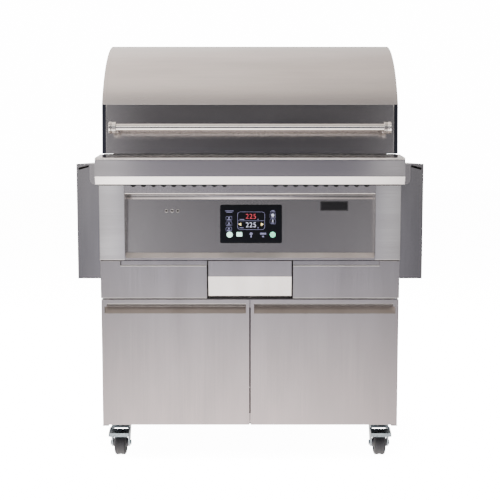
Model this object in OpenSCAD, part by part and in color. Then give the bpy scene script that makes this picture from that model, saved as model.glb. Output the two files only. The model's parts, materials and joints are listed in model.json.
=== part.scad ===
// Pellet smoker grill: cooking head with a rounded hood on a two-door cart.
// Millimetres. X runs to the right, the front faces -Y, Z is up from the ground.

/* [Cart] */
// Width of the cart and of the head
body_w = 892; // [880:2:896]
// Distance from the centre plane to the front face of the cart and head
body_front = 340; // [338:1:342]
// Distance from the centre plane to the outside of the cart's back
cart_back = 330; // [320:1:335]
// Height of the doors' lower edge
door_bottom = 112; // [111:1:116]
// Height of the doors' upper edge
door_top = 495; // [490:1:499]
// Thickness of a door
door_t = 20; // [18:1:20]
// Height of the cart's front panel above the ground
cart_top = 611; // [609:1:612]
// Width of the drawer front
drawer_w = 249; // [240:1:250]
// Length of the drawer tray
drawer_l = 360; // [300:10:400]

/* [Head] */
// Height of the head's underside
head_bottom = 608; // [608:1:609]
// Height of the lower edge of the head's front
skirt_z = 614; // [614:1:616]
// Height of the top of the control frame
frame_top = 836; // [832:1:837]
// Width of each pilaster
pilaster_w = 75; // [60:1:80]
// Top edge of the firebox and head rim
rim_z = 925; // [923:1:926]
// Pitch of the vent notches
notch_pitch = 30; // [26:1:34]
// Width of the control display
display_w = 185; // [160:1:200]
// Height of the control display
display_h = 116; // [100:1:120]

/* [Hopper lid] */
// Width of the lid
lid_w = 914; // [910:1:918]
// Distance from the centre plane to the front face of the lid
lid_front = 350; // [349:1:352]
// Height of the lid's lower edge
lid_bottom = 839; // [838:1:841]
// Height of the lid's rounded front edge
lid_edge = 917; // [915:1:918]

/* [Hood] */
// Height of the hood's lower edge
hood_base = 929; // [928:1:932]
// Radius of the hood's arc
hood_r = 343; // [341:1:345]
// Height of the crease between the flat face and the arc
crease_z = 1078; // [1060:1:1090]
// Width of the hood
hood_w = 904; // [900:1:908]
// Outer radius of the handle tube
handle_r = 12; // [10:0.5:13]
// Radius of the handle's end collars
collar_r = 18; // [16:0.5:19]

/* [Side shelves] */
// Distance from the centre plane to a folded shelf's outer face
shelf_x = 532; // [530:1:534]
// Thickness of a shelf
shelf_t = 70; // [66:1:70]
// Height of a folded shelf's lower edge
shelf_bottom = 544; // [500:1:560]
// Height of a folded shelf's upper edge
shelf_top = 898; // [897:1:898]
// Length of a shelf from front to back
shelf_l = 456; // [440:1:456]

/* [Casters] */
// Radius of a wheel
wheel_r = 37.5; // [36:0.5:38]
// Width of a tyre
wheel_w = 35; // [30:1:36]
// Distance from the centre plane to a caster's swivel axis, sideways
caster_x = 400; // [380:1:402]
// Distance from the centre plane to a caster's swivel axis, front to back
caster_y = 240; // [220:1:242]
// Distance from the swivel axis to the axle
caster_trail = 30; // [26:1:32]

/* [Hidden] */
$fn = 96;

steel = [0.72, 0.71, 0.71];
dark_steel = [0.5, 0.49, 0.5];
zinc = [0.66, 0.69, 0.72];
black = [0.06, 0.06, 0.07];

sheet = 2;                       // sheet metal of the casings
wall = 3;                        // sheet metal of the cart's body and the firebox
bw = body_w / 2;
front = -body_front;
run = 0.05;                      // radial clearance of a running fit
eps = 0.1;                       // how far a cut runs past a face

// Cart
base_z = 108;                    // underside of the cart's base plate
base_front = front + 26;         // front of the cart's body, behind the doors
door_gap = 2;                    // half the gap between the doors
door_edge = bw - 1;
door_back = front + door_t;
pin_r = 4;
pin_x = bw - 9;
pin_y = front + 10;
pin_len = 19;
groove_low = door_top - 42.5;
groove_high = door_top - 12.5;
groove_apex = door_top - 22.5;
groove_depth = 15;
groove_end = 10;                 // plain strip at each end of the groove
panel_bottom = door_top + 4;
notch_half = bw - 60;            // half width of the shallow notch in the front panel
notch_z = cart_top - 14;
drawer_gap = 3.5;
drawer_half = drawer_w / 2;
drawer_fold = cart_top - 47;     // where the drawer front starts to lean in
drawer_lean = front + 14;        // its foot
tray_half = drawer_half - 7.5;
tray_y = front + 34;
tray_z = panel_bottom + 13;
tray_h = 66;
runner_z = tray_z + 16;

// Head
head_back = 300;
pil_in = bw - 1 - pilaster_w + 2;
pil_out = bw + 1;
pil_back = front + 40;
strip_z = frame_top - 24;        // lower edge of the frame's top strip
lip_z = skirt_z + 6;             // upper edge of the frame's bottom lip
panel_z0 = lip_z + 14;           // lower edge of the control panel
panel_y0 = front + 20;
panel_y1 = front + 33;
panel_tilt = atan((panel_y1 - panel_y0) / (strip_z - panel_z0));
panel_len = (strip_z - panel_z0) / cos(panel_tilt);
notch_r = 9;
notch_rise = 4;                  // notch centre above the strip's top edge
notch_free = 52;                 // half width of the plain strip above the display
display_x = 3;
display_v = 28;                  // display's lower edge, along the panel
jack_x = [-250, -233, -216];
jack_v = 125;
jack_r = 3.8;
jack_bore = 1.8;
jack_len = 12;
badge_x = 252;
badge_v = 125;

// Cooking chamber
fire_half = 405;
fire_front = -205;
fire_back = 290;
fire_floor = head_bottom + 6;
rain_y = -216;                   // front of the upstand that keeps rain off the rim
grate_z = 880;
grate_t = 6;
grate_n = 3;
rack_z = 1057;
pot_y = 20;
pot_r = 55;
chute = 45;                      // half width of the ash chute

// Hopper and feed
hop_half = 330;
hop_front = -332;
hop_neck = -288;
hop_back = -238;
hop_top = 905;
auger_z = 660;
auger_r = 26;
tube_y0 = -262;
tube_y1 = pot_y - pot_r;
shaft_r = 6;
flight_r = 20;
flight_turns = 6;
fan_x = 150;
fan_z = 655;

// Hopper lid
lid_half = lid_w / 2;
lid_back = -234;
lid_chamfer = 10;
lid_fold = lid_bottom + 23;
lid_rise = 10;                   // how much the lid's top rises to the back
lid_round = 8;
lid_pin_y = -242;
lid_pin_z = 912;

// Hood
hood_front = -232;
hood_back = 300;
hood_cy = 92;
hood_cz = 939;
hood_t = 2.5;
cap_w = 12;
hood_half = hood_w / 2;
crease_y = hood_cy - sqrt(hood_r * hood_r - (crease_z - hood_cz) * (crease_z - hood_cz));
hinge_y = 312;
hinge_z = 945;
hinge_x = 385;                   // inner end of a hood hinge knuckle
knuckle_w = 26;
hinge_pin_r = 6;
handle_y = -285;
handle_z = 1006;
collar_in = 400;
collar_out = 422;
post_r = 10;

// Side shelves
pivot_x = 484;
pivot_z = 890;
pivot_r = 5;
bracket_out = 491;
bracket_low = frame_top;
shelf_half = shelf_l / 2;

// Casters
plate_z = base_z - 4;
kingpin_r = 6;
axle_r = 5;
leg_in = 24;
leg_out = 28;
pedal_y = -46;
pedal_z = 84;

// ---------- helpers ----------

// Box between two opposite corners
module box(lo, hi) { translate(lo) cube(hi - lo); }

// The children and their mirror image across the centre plane
module both_sides() { children(); mirror([1, 0, 0]) children(); }

// A Y-Z outline drawn along X
module along_x(x0, x1) { translate([x0, 0, 0]) rotate([90, 0, 90]) linear_extrude(x1 - x0) children(); }

// An X-Z outline drawn along Y
module along_y(y0, y1) { translate([0, y1, 0]) rotate([90, 0, 0]) linear_extrude(y1 - y0) children(); }

module rod_x(x0, x1, y, z, r) { translate([x0, y, z]) rotate([0, 90, 0]) cylinder(h = x1 - x0, r = r); }

module rod_y(y0, y1, x, z, r) { translate([x, y1, z]) rotate([90, 0, 0]) cylinder(h = y1 - y0, r = r); }

// Rectangle with round corners, from exact arcs
module round_rect(w, h, r) {
  translate([-w / 2 + r, -h / 2]) square([w - 2 * r, h]);
  translate([-w / 2, -h / 2 + r]) square([w, h - 2 * r]);
  for (sx = [-1, 1], sy = [-1, 1]) translate([sx * (w / 2 - r), sy * (h / 2 - r)]) circle(r = r);
}

// Flat plate of parallel bars: a w by l plate with n slots along its length
module slotted_plate(w, l, t, n, rim, bar) {
  slot = (w - 2 * rim - (n - 1) * bar) / n;
  linear_extrude(t) difference() {
    square([w, l]);
    for (i = [0 : n - 1]) translate([rim + i * (slot + bar), rim]) square([slot, l - 2 * rim]);
  }
}

// ---------- cart ----------

module cart_base() color(dark_steel) {
  difference() {
    box([-bw + wall, base_front, base_z], [bw - wall, cart_back - wall, base_z + wall]);
    for (x = [-200, 0, 200]) translate([x, 150, base_z - eps]) linear_extrude(wall + 2 * eps)
      round_rect(120, 12, 5);
  }
}

module cart_sides() color(steel) both_sides() {
  box([bw - wall, base_front, base_z], [bw, cart_back, head_bottom]);
  box([bw - 23, base_front, base_z + wall], [bw - wall, base_front + sheet, head_bottom]);
  box([bw - 23, cart_back - sheet, base_z + wall], [bw - wall, cart_back, head_bottom]);
}

module cart_back_panel() color(dark_steel) difference() {
  box([-bw + wall, cart_back - wall - sheet, base_z + wall], [bw - wall, cart_back - wall, head_bottom - 2]);
  for (x = [-240, 0, 240], k = [0 : 4])
    box([x - 70, cart_back - 20, 400 + 24 * k], [x + 70, cart_back, 406 + 24 * k]);
}

module cart_front_frame() color(dark_steel) {
  back = base_front + sheet;
  inner = bw - 6;
  box([-inner, back, door_top - 28], [inner, back + 18, door_top + 1]);
  box([-inner, back, base_z + wall], [inner, back + 18, base_z + 33]);
  both_sides() box([inner - 20, back, base_z + 33], [inner, back + 18, door_top - 28]);
}

// One half: a folded sheet whose notched top edge steps back under the head
module cart_front_panel() color(steel) both_sides() {
  x0 = drawer_half + drawer_gap;
  step = front + 14;
  box([x0, front, panel_bottom], [bw, front + sheet, notch_z]);
  box([notch_half, front, notch_z], [bw, front + sheet, cart_top]);
  box([x0, front + sheet, panel_bottom], [bw, base_front, panel_bottom + sheet]);
  box([x0, front + sheet, panel_bottom + sheet], [x0 + sheet, step, notch_z - sheet]);
  box([bw - sheet, front + sheet, panel_bottom + sheet], [bw, base_front, cart_top]);
  box([x0, front + sheet, notch_z - sheet], [notch_half, step, notch_z]);
  box([x0, step - sheet, notch_z], [notch_half, step, cart_top]);
  box([notch_half, front + sheet, notch_z - sheet], [notch_half + sheet, step, cart_top]);
}

module door_catches() color(black) both_sides()
  box([14, door_back + 0.6, door_top - 22], [44, base_front + sheet, door_top - 4]);

module door_hinge_pins() color(steel) both_sides() {
  box([bw - 18, front + 2, base_z], [bw, base_front, base_z + wall]);
  translate([pin_x, pin_y, base_z + wall]) cylinder(h = pin_len, r = pin_r);
  translate([pin_x, pin_y, panel_bottom - pin_len - 1]) cylinder(h = pin_len + 1, r = pin_r);
}

// Door skin: a folded sheet with a V groove below its top lip
module door_outline() polygon([
  [front, door_bottom], [front, groove_low], [front + groove_depth, groove_apex], [front, groove_high],
  [front, door_top], [door_back, door_top], [door_back, door_top - sheet], [front + sheet, door_top - sheet],
  [front + sheet, groove_high + 1.2], [front + groove_depth + 2.4, groove_apex],
  [front + sheet, groove_low - 0.9], [front + sheet, door_bottom + sheet],
  [door_back, door_bottom + sheet], [door_back, door_bottom]]);

module door() {
  x0 = door_gap;
  x1 = door_edge;
  back = door_back - sheet;
  difference() {
    union() {
      along_x(x0 + groove_end, x1 - groove_end) door_outline();
      for (x = [x0, x1 - groove_end]) {
        box([x, front, door_bottom], [x + groove_end, front + sheet, door_top]);
        box([x, front, groove_low - 4], [x + groove_end, back, door_top]);
        box([x, front, door_bottom], [x + groove_end, door_back, door_bottom + sheet]);
        box([x, front, door_top - sheet], [x + groove_end, door_back, door_top]);
      }
      box([x0, front, door_bottom], [x0 + sheet, door_back, door_top]);
      box([x1 - sheet, front, door_bottom], [x1, door_back, door_top]);
      box([pin_x - 9, front, door_bottom], [x1, back, door_bottom + pin_len + 4]);
      box([pin_x - 9, front, panel_bottom - pin_len - 6], [x1, back, door_top]);
    }
    translate([pin_x, pin_y, door_bottom - eps]) cylinder(h = pin_len + eps, r = pin_r + run);
    translate([pin_x, pin_y, panel_bottom - pin_len - 2]) cylinder(h = pin_len + 2, r = pin_r + run);
  }
}

module door_liner() box([door_gap + sheet, door_back - sheet, door_bottom + sheet],
  [door_edge - sheet, door_back, door_top - sheet]);

module right_door() color(steel) door();
module left_door() color(steel) mirror([1, 0, 0]) door();
module right_door_liner() color(dark_steel) door_liner();
module left_door_liner() color(dark_steel) mirror([1, 0, 0]) door_liner();

// ---------- drawer ----------

// Side wall of the drawer front
module drawer_side() polygon([[front, cart_top], [front, drawer_fold], [drawer_lean, panel_bottom],
  [tray_y, panel_bottom], [tray_y, cart_top]]);

// Folded sheet between the side walls, open at the back
module drawer_skin() polygon([[front, cart_top], [front, drawer_fold], [drawer_lean, panel_bottom],
  [tray_y, panel_bottom], [tray_y, panel_bottom + sheet], [drawer_lean + 1.7, panel_bottom + sheet],
  [front + sheet, drawer_fold - 0.2], [front + sheet, cart_top - sheet], [tray_y, cart_top - sheet],
  [tray_y, cart_top]]);

module drawer_front() color(steel) {
  along_x(-drawer_half + sheet, drawer_half - sheet) drawer_skin();
  along_x(-drawer_half, -drawer_half + sheet) drawer_side();
  along_x(drawer_half - sheet, drawer_half) drawer_side();
}

module drawer_tray() color(dark_steel) {
  difference() {
    box([-tray_half, tray_y, tray_z], [tray_half, tray_y + drawer_l, tray_z + tray_h]);
    box([-tray_half + sheet, tray_y + sheet, tray_z + sheet],
      [tray_half - sheet, tray_y + drawer_l - sheet, tray_z + tray_h + 1]);
  }
  both_sides() box([tray_half, tray_y + 4, runner_z + 2.5], [tray_half + 5, tray_y + drawer_l, runner_z + 4.5]);
}

module drawer_runners() color(zinc) both_sides() {
  x = tray_half + 7;
  box([x, tray_y + 6, runner_z], [x + sheet, tray_y + drawer_l, head_bottom]);
  box([tray_half + 2, tray_y + 6, runner_z], [x, tray_y + drawer_l, runner_z + sheet]);
}

// ---------- head ----------

module head_shell() color(steel) {
  ear_front = lid_pin_y - 10;
  ear_back = lid_pin_y + 9;
  low = hop_top;
  difference() {
    both_sides() along_x(bw - wall, bw) polygon([[pil_back, head_bottom], [head_back, head_bottom],
      [head_back, rim_z], [-222, rim_z], [-222, low], [ear_back, low], [ear_back, lid_pin_z + 6],
      [ear_front, lid_pin_z + 6], [ear_front, low], [pil_back, low]]);
    rod_x(-bw - 1, bw + 1, lid_pin_y, lid_pin_z, 4 + run);
  }
  difference() {
    box([-bw + wall, pil_back, head_bottom], [bw - wall, head_back, head_bottom + wall]);
    box([-chute, pot_y - chute, head_bottom - 1], [chute, pot_y + chute, head_bottom + wall + 1]);
  }
}

module head_rear_panel() color(steel) difference() {
  box([-bw + wall, head_back - wall, head_bottom + wall], [bw - wall, head_back, rim_z]);
  box([-280, head_back - 10, 800], [280, head_back + 1, 860]);
  box([-320, head_back - 10, 638], [-280, head_back + 1, 662]);
}

module head_pilasters() color(steel) both_sides() difference() {
  box([pil_in, front, skirt_z], [pil_out, pil_back, frame_top]);
  box([pil_in + sheet, front + sheet, skirt_z + sheet], [pil_out - sheet, pil_back + 1, frame_top - sheet]);
}

// The frame round the recessed panel: notched strip, soffit, side walls, bevelled sill and lip
module control_frame() color(steel) {
  notch_n = floor((2 * pil_in - 24) / notch_pitch);
  difference() {
    box([-pil_in, front, strip_z], [pil_in, front + sheet, frame_top]);
    for (i = [0 : notch_n - 1], x = (i - (notch_n - 1) / 2) * notch_pitch) if (abs(x) > notch_free)
      rod_y(front - 1, front + sheet + 1, x, frame_top + notch_rise, notch_r);
  }
  box([-pil_in, front + sheet, strip_z], [pil_in, panel_y1, strip_z + sheet]);
  both_sides() box([pil_in - sheet, front, lip_z], [pil_in, panel_y1, strip_z]);
  along_x(-pil_in + sheet, pil_in - sheet) polygon([[front, skirt_z], [front, lip_z], [panel_y0, panel_z0],
    [panel_y0 + sheet, panel_z0], [front + sheet, lip_z - 0.8], [front + sheet, skirt_z]]);
  both_sides() box([pil_in - sheet, front, skirt_z], [pil_in, front + sheet, lip_z]);
}

// Places the children on the tilted panel: X across, -Y out of its face, Z up along it
module on_panel() { translate([0, panel_y0, panel_z0]) rotate([-panel_tilt, 0, 0]) children(); }

module control_panel() color(dark_steel) on_panel() difference() {
  half = pil_in - sheet;
  box([-half, 0, 0.5], [half, sheet, panel_len - 0.5]);
  box([display_x - display_w / 2 + 8, -1, display_v + 8],
    [display_x + display_w / 2 - 8, sheet + 1, display_v + display_h - 8]);
  for (x = jack_x) rod_y(-1, sheet + 1, x, jack_v, jack_r);
}

module display_glass() color(black) on_panel() along_y(-5, 0)
  translate([display_x, display_v + display_h / 2]) round_rect(display_w, display_h, 6);

module controller_box() color(black) on_panel()
  box([display_x - 84, sheet, 65], [display_x + 84, sheet + 20, display_v + display_h - 9]);

module badge_plate() color(black) on_panel() along_y(-2.5, 0)
  translate([badge_x, badge_v + 14.5]) round_rect(83, 29, 2);

module probe_jacks() color(steel) on_panel() difference() {
  union() for (x = jack_x) {
    rod_y(-3, 0, x, jack_v, jack_r + 1.2);
    rod_y(0, jack_len + 4, x, jack_v, jack_r);
  }
  for (x = jack_x) rod_y(-3 - eps, jack_len - 3, x, jack_v, jack_bore);
}

module exhaust_duct() color(dark_steel) difference() {
  box([-300, head_back, 780], [300, 350, 880]);
  box([-298, head_back - 1, 779], [298, 348, 878]);
}

module power_inlet() color(black) {
  floor_y = head_back + 3;
  difference() {
    union() {
      box([-327, head_back, 634], [-273, floor_y, 666]);
      box([-319, head_back - 7, 639], [-281, head_back, 661]);
      box([-322, head_back, 636], [-278, head_back + 18, 664]);
    }
    box([-312, floor_y, 642], [-288, head_back + 19, 658]);
  }
  for (p = [[-306, 647], [-300, 653], [-294, 647]])
    box([p[0] - 1, floor_y - 1, p[1] - 2.5], [p[0] + 1, floor_y + 8, p[1] + 2.5]);
}

// ---------- cooking chamber ----------

module firebox() color(dark_steel) difference() {
  union() {
    difference() {
      box([-fire_half, fire_front, fire_floor], [fire_half, fire_back, rim_z - wall]);
      box([-fire_half + wall, fire_front + wall, fire_floor + wall],
        [fire_half - wall, fire_back - wall, rim_z + 1]);
    }
    difference() {
      box([-bw + wall + 0.5, -221, rim_z - wall], [bw - wall - 0.5, head_back - wall - 0.5, rim_z]);
      box([-fire_half + wall, fire_front + wall, rim_z - wall - 1],
        [fire_half - wall, fire_back - wall, rim_z + 1]);
    }
    for (y = [fire_front + wall, fire_back - wall - 8])
      box([-fire_half + wall, y, grate_z - 4], [fire_half - wall, y + 8, grate_z]);
    box([-bw + 26, rain_y, rim_z - 1], [bw - 26, rain_y + sheet, rim_z + 9]);
  }
  rod_y(fire_front - 1, fire_front + wall + 1, 0, auger_z, auger_r + 0.5);
  box([fan_x - 18, fire_front - 1, fan_z - 13], [fan_x + 18, fire_front + wall + 1, fan_z + 13]);
  box([-270, fire_back - 10, 805], [270, fire_back + 1, 855]);
  box([-chute, pot_y - chute, fire_floor - 1], [chute, pot_y + chute, fire_floor + wall + 1]);
}

module cooking_grates() color(steel) {
  w = 2 * (fire_half - wall - 1) / grate_n;
  l = fire_back - fire_front - 2 * wall - 4;
  for (i = [0 : grate_n - 1])
    translate([-fire_half + wall + 1 + i * w + 1, fire_front + wall + 2, grate_z])
      slotted_plate(w - 2, l, grate_t, 13, 10, 7);
}

module warming_rack() color(steel) {
  translate([-380, 84, rack_z]) slotted_plate(760, 166, 5, 34, 8, 6);
  for (x = [-370, 370], y = [92, 242])
    translate([x, y, grate_z + grate_t]) cylinder(h = rack_z - grate_z - grate_t, r = 3);
}

module heat_diffuser() color(dark_steel) along_y(-110, 150)
  polygon([[-150, 730], [0, 765], [150, 730], [150, 733], [0, 768], [-150, 733]]);

module drip_tray() color(dark_steel) along_y(fire_front + 8, fire_back - 8)
  polygon([[-396, 826], [390, 806], [398, 814], [398, 818], [389, 809], [-396, 829]]);

module fire_pot() color(dark_steel) difference() {
  translate([0, pot_y, fire_floor + wall]) cylinder(h = 90, r = pot_r);
  translate([0, pot_y, fire_floor + wall + 15]) cylinder(h = 90, r = pot_r - wall);
  translate([0, pot_y, fire_floor]) cylinder(h = 30, r = 12);
  rod_y(pot_y - pot_r - 1, pot_y - pot_r + 30, 0, auger_z, auger_r - 3);
}

module igniter_rod() color(steel) rod_y(pot_y - pot_r - 60, pot_y - pot_r, 36, fire_floor + 10, 4);

module temperature_probe() color(steel) {
  rod_x(-fire_half + wall, -366, 40, 905, 3);
  rod_x(-fire_half + wall, -fire_half + wall + 4, 40, 905, 8);
}

// ---------- pellet feed ----------

// Body of the hopper drawn t inside its outer face and up past its mouth and outlet
module hopper_body(t, up) intersection() {
  foot = auger_z + auger_r - up;
  along_x(-hop_half - 1, hop_half + 1) polygon([[hop_neck + t, foot], [hop_neck + t, 800 + t],
    [hop_front + t, 845 + t], [hop_front + t, hop_top + up], [hop_back - t, hop_top + up], [hop_back - t, foot]]);
  along_y(hop_front - 1, hop_back + 1) polygon([[-28 + t, foot], [28 - t, foot], [28 - t, 690],
    [hop_half - t, 862], [hop_half - t, hop_top + up], [-hop_half + t, hop_top + up], [-hop_half + t, 862],
    [-28 + t, 690]]);
}

module hopper() color(dark_steel) difference() {
  hopper_body(0, 0);
  hopper_body(sheet, 1);
}

module auger_tube() color(dark_steel) difference() {
  rod_y(tube_y0, tube_y1, 0, auger_z, auger_r);
  rod_y(tube_y0 + 6, tube_y1 + 1, 0, auger_z, auger_r - 3);
  rod_y(tube_y0 - 1, tube_y0 + 7, 0, auger_z, shaft_r + run);
  box([-14, -256, auger_z], [14, hop_back - 3, auger_z + auger_r + 1]);
}

module auger_screw() color(zinc) {
  rod_y(tube_y0 + 0.5, tube_y1 - 4, 0, auger_z, shaft_r);
  translate([0, tube_y1 - 6, auger_z]) rotate([90, 0, 0])
    linear_extrude(height = tube_y1 - tube_y0 - 16, twist = 360 * flight_turns, slices = 20 * flight_turns, $fn = 8)
      translate([shaft_r + 0.1, -1.5]) square([flight_r - shaft_r, 3]);
}

module auger_motor() color(black) {
  rod_y(tube_y0 - 22, tube_y0, 0, auger_z, auger_r);
  rod_y(tube_y0 - 46, tube_y0 - 22, 0, auger_z, auger_r - 6);
}

module fan_housing() color(black) {
  difference() {
    box([fan_x - 36, -308, fan_z - 34], [fan_x + 36, -268, fan_z + 34]);
    rod_y(-309, -274, fan_x, fan_z, 30);
    box([fan_x - 15, -300, fan_z - 10], [fan_x + 15, -267, fan_z + 10]);
  }
  difference() {
    box([fan_x - 17, -268, fan_z - 12], [fan_x + 17, fire_front, fan_z + 12]);
    box([fan_x - 15, -269, fan_z - 10], [fan_x + 15, fire_front + 1, fan_z + 10]);
  }
  for (s = [-1, 1]) box([fan_x - 31, -276, fan_z - 3 + s * 16], [fan_x + 31, -274, fan_z + 3 + s * 16]);
  box([fan_x - 3, -276, fan_z - 19], [fan_x + 3, -274, fan_z + 19]);
  rod_y(-300, -274, fan_x, fan_z, 3);
}

module fan_impeller() color(zinc) difference() {
  union() {
    rod_y(-302, -278, fan_x, fan_z, 7);
    rod_y(-280, -278, fan_x, fan_z, 26);
    translate([fan_x, 0, fan_z]) for (k = [0 : 7]) rotate([0, 45 * k, 0]) box([6, -302, -1], [26, -279, 1]);
  }
  rod_y(-301, -277, fan_x, fan_z, 3 + run);
}

// ---------- hopper lid ----------

// Section of the lid, drawn t inside its outer face; its front skirt leans in at the foot
module lid_outline(t) difference() {
  polygon([[-lid_front + lid_chamfer + t, lid_bottom], [-lid_front + t, lid_fold], [-lid_front + t, lid_edge - t],
    [lid_back, lid_edge + lid_rise - t], [lid_back, lid_bottom]]);
  translate([-lid_front + t, lid_edge - t + 0.6 - (lid_round - t)]) difference() {
    square([lid_round - t, lid_round]);
    translate([lid_round - t, 0]) circle(r = lid_round - t);
  }
}

module hopper_lid() color(steel) {
  difference() {
    along_x(-lid_half, lid_half) lid_outline(0);
    along_x(-lid_half + sheet, lid_half - sheet) union() {
      lid_outline(sheet);
      translate([-lid_front + lid_chamfer + sheet, lid_bottom - 1])
        square([lid_front - lid_chamfer - sheet + lid_back + 1, lid_edge - lid_bottom - 10]);
    }
  }
  both_sides() rod_x(bw - wall - 1, lid_half - sheet, lid_pin_y, lid_pin_z, 4);
}

// ---------- hood ----------

// Section of the hood, drawn t inside its outer face
module hood_outline(t) intersection() {
  translate([hood_cy, hood_cz]) circle(r = hood_r - t, $fn = 256);
  polygon([[hood_front + t, hood_base], [crease_y + t, crease_z], [crease_y + t, hood_cz + hood_r + 9],
    [hood_back - t, hood_cz + hood_r + 9], [hood_back - t, hood_base]]);
}

module hood_shell() color(steel) {
  x = hood_half - cap_w;
  difference() {
    along_x(-x, x) hood_outline(0);
    along_x(-x - 1, x + 1) union() {
      hood_outline(hood_t);
      translate([hood_front + hood_t, hood_base - 1]) square([hood_back - hood_front - 2 * hood_t, 8]);
    }
  }
  box([-x, hood_front + hood_t - 1, hood_base], [x, hood_front + hood_t + 7, hood_base + sheet]);
}

module hood_end_caps() color(steel) both_sides() {
  x = hood_half - cap_w;
  along_x(hood_half - sheet, hood_half) hood_outline(0);
  difference() {
    along_x(x, hood_half - sheet) hood_outline(0);
    along_x(x - 1, hood_half) union() {
      hood_outline(hood_t);
      translate([hood_front + hood_t, hood_base - 1]) square([hood_back - hood_front - 2 * hood_t, 8]);
    }
  }
}

module hood_knuckles() color(steel) both_sides() difference() {
  union() {
    rod_x(hinge_x, hinge_x + knuckle_w, hinge_y, hinge_z, 10);
    box([hinge_x, hood_back, hinge_z - 8], [hinge_x + knuckle_w, hood_back + 3, hinge_z + 30]);
    box([hinge_x, hood_back, hinge_z - 4], [hinge_x + knuckle_w, hinge_y - 4, hinge_z + 8]);
  }
  rod_x(hinge_x - 1, hinge_x + knuckle_w + 1, hinge_y, hinge_z, hinge_pin_r + run);
}

module hood_hinge_brackets() color(steel) both_sides() {
  for (x = [hinge_x - 5, hinge_x + knuckle_w + 1]) along_x(x, x + 4) {
    translate([hinge_y, hinge_z]) circle(r = 10);
    polygon([[head_back, hinge_z - 70], [hinge_y + 10, hinge_z - 40], [hinge_y + 10, hinge_z],
      [hinge_y - 10, hinge_z], [head_back, hinge_z - 20]]);
  }
  rod_x(hinge_x - 1, hinge_x + knuckle_w + 1, hinge_y, hinge_z, hinge_pin_r);
}

module handle_tube() color(steel) difference() {
  rod_x(-collar_in, collar_in, handle_y, handle_z, handle_r);
  rod_x(-collar_in - 1, collar_in + 1, handle_y, handle_z, handle_r - 2);
}

module handle_posts() color(steel) both_sides() {
  mid = (collar_in + collar_out) / 2;
  face = hood_front + (crease_y - hood_front) * (handle_z - post_r - hood_base) / (crease_z - hood_base);
  rod_x(collar_in, collar_out, handle_y, handle_z, collar_r);
  rod_y(handle_y, face, mid, handle_z, post_r);
}

// ---------- side shelves ----------

module shelf_brackets() color(steel) both_sides() for (m = [0, 1]) mirror([0, m, 0]) {
  y = -shelf_half - 0.5;
  along_y(y - wall, y) {
    translate([bw, bracket_low + 16]) square([bracket_out - bw, shelf_top - bracket_low - 16]);
    translate([bw, bracket_low]) square([bracket_out - bw - 16, 17]);
    translate([bracket_out - 16, bracket_low + 16]) circle(r = 16);
  }
  box([bw, y, bracket_low + 4], [bw + sheet, y + 50, shelf_top - 4]);
  rod_y(y, -shelf_half + wall + 1, pivot_x, pivot_z, pivot_r);
}

module shelf() {
  inner = shelf_x - shelf_t;
  difference() {
    box([inner, -shelf_half, shelf_bottom], [shelf_x, shelf_half, shelf_top]);
    box([inner - 1, -shelf_half + wall, shelf_bottom + wall], [shelf_x - wall, shelf_half - wall, shelf_top - sheet]);
    rod_y(-shelf_half - 1, shelf_half + 1, pivot_x, pivot_z, pivot_r + run);
    translate([pivot_x + 10, 0, pivot_z + 1]) rotate([0, 15, 0])
      box([0, -shelf_half - 1, -3.2], [32, -shelf_half + wall + 1, 3.2]);
  }
}

module right_shelf() color(dark_steel) shelf();
module left_shelf() color(dark_steel) mirror([1, 0, 0]) shelf();

// ---------- casters ----------

module caster_plates() color(zinc) for (sx = [-1, 1], sy = [-1, 1]) translate([sx * caster_x, sy * caster_y, 0]) {
  box([-42, -37, plate_z], [42, 37, base_z]);
  translate([0, 0, plate_z - 12]) cylinder(h = 12, r = kingpin_r);
  translate([0, 0, plate_z - 15]) cylinder(h = 3, r = 9);
}

// A fork that swivels about Z; its axle is toward -Y
module caster_fork(brake) color(zinc) {
  difference() {
    union() {
      translate([0, 0, plate_z - 11.5]) cylinder(h = 11, r = 27);
      box([-leg_out, -52, plate_z - 15], [leg_out, 15, plate_z - 11.5]);
    }
    translate([0, 0, plate_z - 16]) cylinder(h = 20, r = kingpin_r + run);
    translate([0, 0, plate_z - 16]) cylinder(h = 4.5, r = 11);
  }
  both_sides() along_x(leg_in, leg_out) {
    polygon([[-52, plate_z - 15], [15, plate_z - 15], [-caster_trail + 12, wheel_r - 3],
      [-caster_trail - 12, wheel_r - 3]]);
    translate([-caster_trail, wheel_r]) circle(r = 12);
  }
  rod_x(-leg_in, leg_in, -caster_trail, wheel_r, axle_r);
  both_sides() rod_x(leg_out, leg_out + 4, -caster_trail, wheel_r, 8);
  if (brake) both_sides() rod_x(leg_out, leg_out + 3.5, pedal_y, pedal_z, 3);
}

module wheel() color(black) translate([0, -caster_trail, wheel_r]) rotate([0, 90, 0]) difference() {
  rotate_extrude() {
    square([15, leg_in - 0.8]);
    translate([14, 0]) square([wheel_r - 14, wheel_w / 2 - 5]);
    translate([14, wheel_w / 2 - 6]) square([wheel_r - 19, 6]);
    translate([wheel_r - 5, wheel_w / 2 - 5]) circle(r = 5, $fn = 32);
    mirror([0, 1]) {
      square([15, leg_in - 0.8]);
      translate([14, 0]) square([wheel_r - 14, wheel_w / 2 - 5]);
      translate([14, wheel_w / 2 - 6]) square([wheel_r - 19, 6]);
      translate([wheel_r - 5, wheel_w / 2 - 5]) circle(r = 5, $fn = 32);
    }
  }
  cylinder(h = 2 * leg_in, r = axle_r + run, center = true);
}

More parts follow.
